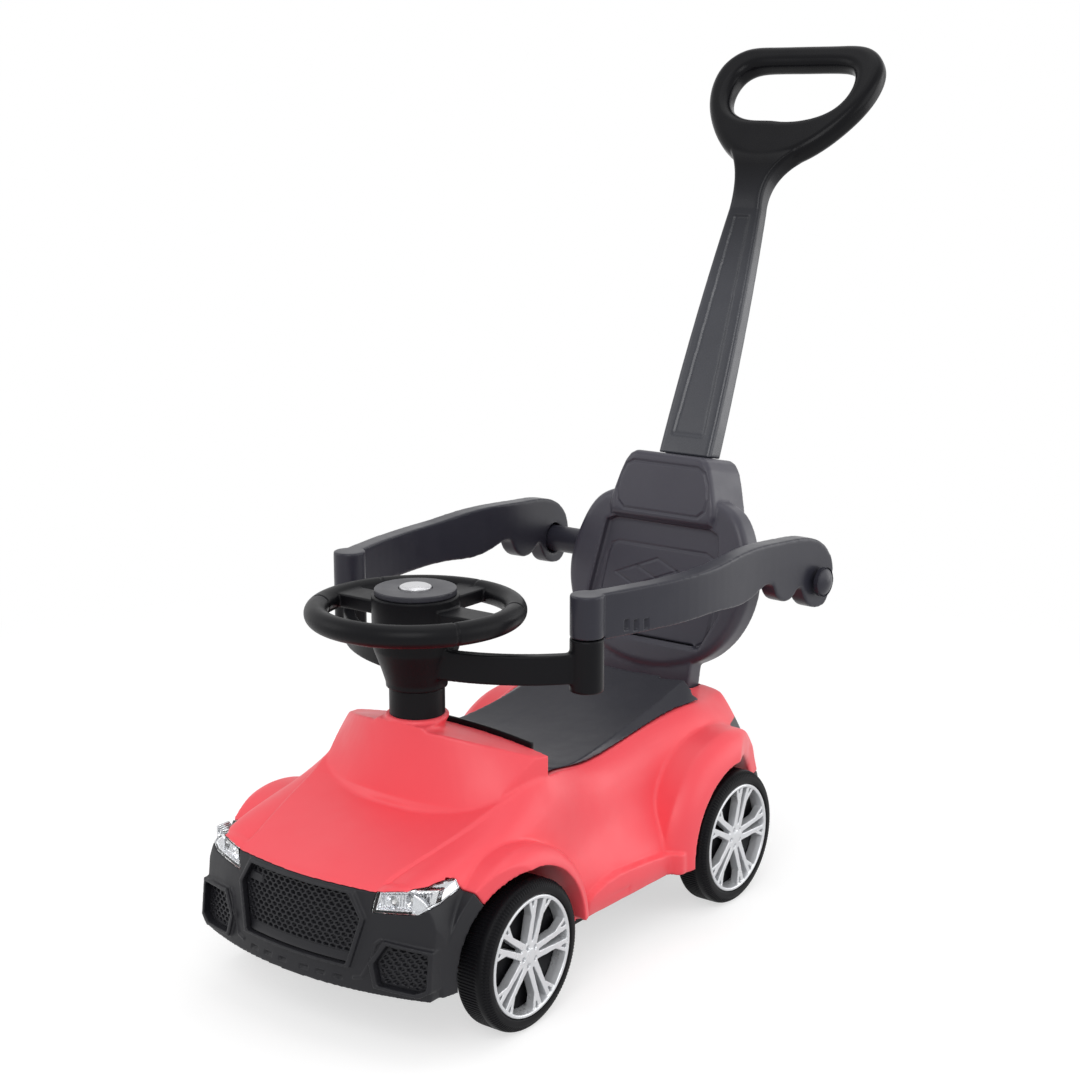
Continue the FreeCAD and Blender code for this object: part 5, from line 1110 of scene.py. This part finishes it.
master_rim = rim_mesh()
for end in ("front", "rear"):
    for side, sign in SIDES:
        node = f"{end}_{side}_rim"
        made[node] = fitted_rim(node, sign, master_rim)
bpy.data.meshes.remove(master_rim)


# Tyres: the moulded tread has fine cross ribs, and the outer shoulder a ring of small teeth.

TYRE_RADIUS = 75.0
TYRE_WIDTH = 38.0
TYRE_ROUND = 9.0
RIBS = 132
STEPS_PER_RIB = 6
RIB_DEPTH = 0.85


def tyre_profile(seat):
    """Points of the tyre's section from its inner to its outer face, each with its share of the rib depth."""
    rows = [(seat, 0.0, 0.0), (TYRE_RADIUS - TYRE_ROUND - 1.5, 0.0, 0.0)]
    for step in range(9):
        angle = math.pi / 2 * step / 8
        share = 1.0 if step > 5 else 0.0
        rows.append((TYRE_RADIUS - TYRE_ROUND + TYRE_ROUND * math.sin(angle),
                     TYRE_ROUND - TYRE_ROUND * math.cos(angle), share))
    for step in range(1, 12):
        across = TYRE_ROUND + (TYRE_WIDTH - 2 * TYRE_ROUND) * step / 12
        rows.append((TYRE_RADIUS, across, 1.0 if step < 11 else 0.0))
    for step in range(13):
        angle = math.pi / 2 * step / 12
        share = 1.3 if 4 <= step <= 9 else 0.0
        rows.append((TYRE_RADIUS - TYRE_ROUND + TYRE_ROUND * math.cos(angle),
                     TYRE_WIDTH - TYRE_ROUND + TYRE_ROUND * math.sin(angle), share))
    rows += [(TYRE_RADIUS - TYRE_ROUND - 1.5, TYRE_WIDTH, 0.0), (seat + 1.0, TYRE_WIDTH, 0.0),
             (seat, TYRE_WIDTH - 1.0, 0.0)]
    return rows


def ribbed_tyre(node, side):
    low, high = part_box(node)
    middle = (low + high) / 2
    own = points_of(frame["nodes"][node].data) / MM
    across = (own[:, 0] - middle[0] / MM) * side + TYRE_WIDTH / 2
    radius = np.hypot(own[:, 1] - middle[1] / MM, own[:, 2] - middle[2] / MM)
    outer_face = across > TYRE_WIDTH - 0.05
    seat = radius[outer_face].min()
    deep = np.sort(np.unique(across[radius < seat - 1.0].round(2)))
    bore = radius.min()
    hub = radius[(across < 0.05) & (radius < seat - 5.0)].max()
    web_top = deep.max()
    web_foot = across[(np.abs(radius - hub) < 0.1) & (across > 0.5)].max()
    rows = [(bore, 0.0, 0.0), (hub, 0.0, 0.0), (hub, web_foot, 0.0), (seat, web_foot, 0.0)]
    rows += tyre_profile(seat)
    rows += [(seat, web_top, 0.0), (bore, web_top, 0.0)]
    rows = np.array(rows)
    turns = RIBS * STEPS_PER_RIB
    angle = np.arange(turns) * 2 * math.pi / turns
    wave = np.cos(angle * RIBS)
    dip = RIB_DEPTH * np.clip(0.5 - 1.3 * wave, 0.0, 1.0)
    r = rows[:, 0][:, None] - rows[:, 2][:, None] * dip[None, :]
    x = np.repeat(rows[:, 1][:, None], turns, 1)
    y = r * np.cos(angle)[None, :]
    z = r * np.sin(angle)[None, :]
    centre = middle / MM
    points = np.stack([centre[0] + side * (x - TYRE_WIDTH / 2), centre[1] + y, centre[2] + z], -1)
    count = len(rows)
    index = np.arange(count * turns).reshape(count, turns)
    after = np.roll(index, -1, 0)
    faces = np.stack([index, np.roll(index, -1, 1), np.roll(after, -1, 1), after], -1).reshape(-1, 4)
    if side < 0:
        faces = faces[:, ::-1]
    mesh = bpy.data.meshes.new(node)
    mesh.from_pydata((points.reshape(-1, 3) * MM).tolist(), [], faces.tolist())
    face_outward(mesh)
    piece = settle(new_piece(node + "_ribbed", mesh), body_of(node), "tyre", "tyre", node)
    mesh.set_sharp_from_angle(angle=math.radians(50.0))
    return piece


for end in ("front", "rear"):
    for side, sign in SIDES:
        node = f"{end}_{side}_tyre"
        made[node] = ribbed_tyre(node, sign)


# Nodes that keep their own shape take the finish of their slot.

for node, piece in frame["nodes"].items():
    if piece.hide_render:
        continue
    piece.data.materials.clear()
    piece.data.materials.append(FINISHES[SLOT_OF[node]])


# Studio: area lights, a white surround, a pale floor that fades to white, and the camera of the photo.

WHITE = (1.0, 1.0, 1.0, 1.0)
SURROUND = 0.54
FLOOR_HALF = 12.0
FLOOR_GREYS = ((0.50, 0.50, 0.50), (0.52, 0.52, 0.52))
FLOOR_CLOUD = 3.0
FLOOR_GLOW = 0.60
SWEEP_GLOW = (0.5, 1.0)
SWEEP_REACH = (0.8, 1.5)


def light(name, place, aim, power, size):
    lamp = bpy.data.lights.new(name, "AREA")
    lamp.energy = power
    lamp.shape = "RECTANGLE"
    lamp.size, lamp.size_y = size
    made_light = bpy.data.objects.new(name, lamp)
    scene.collection.objects.link(made_light)
    made_light.location = place
    made_light.rotation_euler = (Vector(aim) - Vector(place)).to_track_quat("-Z", "Y").to_euler()


AIM = (0.0, 0.05, 0.30)
light("key", (1.3, -2.2, 2.0), AIM, 31.0, (1.6, 1.6))
light("fill", (-2.2, -1.6, 1.4), AIM, 12.0, (1.6, 1.6))
light("top", (0.0, 0.4, 3.0), AIM, 14.0, (2.2, 2.2))
light("side", (2.4, 0.8, 1.2), AIM, 14.0, (1.6, 1.6))
light("sheen", (1.5, 2.3, 0.7), AIM, 12.0, (1.4, 1.4))


def seen_share(tree):
    """One for rays that show the surroundings: camera, mirror and clear ones."""
    path = tree.nodes.new("ShaderNodeLightPath")
    first = tree.nodes.new("ShaderNodeMath")
    first.operation = "MAXIMUM"
    wire(tree, path.outputs["Is Camera Ray"], first.inputs[0])
    wire(tree, path.outputs["Is Glossy Ray"], first.inputs[1])
    second = tree.nodes.new("ShaderNodeMath")
    second.operation = "MAXIMUM"
    wire(tree, first.outputs["Value"], second.inputs[0])
    wire(tree, path.outputs["Is Transmission Ray"], second.inputs[1])
    return second.outputs["Value"]


world = bpy.data.worlds.new("studio")
scene.world = world
world.use_nodes = True
tree = world.node_tree
plain = tree.nodes["Background"]
plain.inputs["Color"].default_value = WHITE
plain.inputs["Strength"].default_value = SURROUND
white = tree.nodes.new("ShaderNodeBackground")
white.inputs["Color"].default_value = WHITE
white.inputs["Strength"].default_value = 1.0
choice = tree.nodes.new("ShaderNodeMixShader")
wire(tree, seen_share(tree), choice.inputs["Fac"])
wire(tree, plain.outputs["Background"], choice.inputs[1])
wire(tree, white.outputs["Background"], choice.inputs[2])
wire(tree, choice.outputs["Shader"], tree.nodes["World Output"].inputs["Surface"])

floor_mesh = bpy.data.meshes.new("floor")
floor_mesh.from_pydata([(-FLOOR_HALF, -FLOOR_HALF, 0.0), (FLOOR_HALF, -FLOOR_HALF, 0.0),
                        (FLOOR_HALF, FLOOR_HALF, 0.0), (-FLOOR_HALF, FLOOR_HALF, 0.0)], [], [(0, 1, 2, 3)])
floor = new_piece("floor", floor_mesh)
paper = bpy.data.materials.new("floor_paper")
paper.use_nodes = True
tree = paper.node_tree
tree.nodes.remove(tree.nodes["Principled BSDF"])
matt = tree.nodes.new("ShaderNodeBsdfDiffuse")
coords = tree.nodes.new("ShaderNodeTexCoord").outputs["Object"]
wire(tree, mixed(tree, noise(tree, coords, FLOOR_CLOUD), *FLOOR_GREYS), matt.inputs["Color"])
seen = seen_share(tree)
glow = tree.nodes.new("ShaderNodeEmission")
glow.inputs["Color"].default_value = WHITE
wire(tree, spread(tree, seen, 0.0, 1.0, 0.0, FLOOR_GLOW), glow.inputs["Strength"])
total = tree.nodes.new("ShaderNodeAddShader")
wire(tree, matt.outputs["BSDF"], total.inputs[0])
wire(tree, glow.outputs["Emission"], total.inputs[1])
sweep = tree.nodes.new("ShaderNodeEmission")
sweep.inputs["Color"].default_value = WHITE
wire(tree, spread(tree, seen, 0.0, 1.0, *SWEEP_GLOW), sweep.inputs["Strength"])
reach = tree.nodes.new("ShaderNodeVectorMath")
reach.operation = "LENGTH"
wire(tree, coords, reach.inputs[0])
blend = tree.nodes.new("ShaderNodeMixShader")
wire(tree, spread(tree, reach.outputs["Value"], *SWEEP_REACH, 0.0, 1.0), blend.inputs["Fac"])
wire(tree, total.outputs["Shader"], blend.inputs[1])
wire(tree, sweep.outputs["Emission"], blend.inputs[2])
wire(tree, blend.outputs["Shader"], tree.nodes["Material Output"].inputs["Surface"])
floor_mesh.materials.append(paper)

AZIMUTH = math.radians(36.71)
ELEVATION = math.radians(12.76)
CAMERA_PLACE = (1.1890, -1.5391, 0.8652)
SENSOR = 36.0
LENS = 63.56
level = math.cos(ELEVATION)
back = Vector((math.sin(AZIMUTH) * level, -math.cos(AZIMUTH) * level, math.sin(ELEVATION)))
right = Vector((math.cos(AZIMUTH), math.sin(AZIMUTH), 0.0))
up = back.cross(right)
camera_data = bpy.data.cameras.new("camera")
camera_data.sensor_width = SENSOR
camera_data.lens = LENS
camera = bpy.data.objects.new("camera", camera_data)
scene.collection.objects.link(camera)
turn = Matrix((right, up, back)).transposed().to_4x4()
camera.matrix_world = Matrix.Translation(Vector(CAMERA_PLACE)) @ turn
scene.camera = camera

scene.view_settings.view_transform = "Standard"
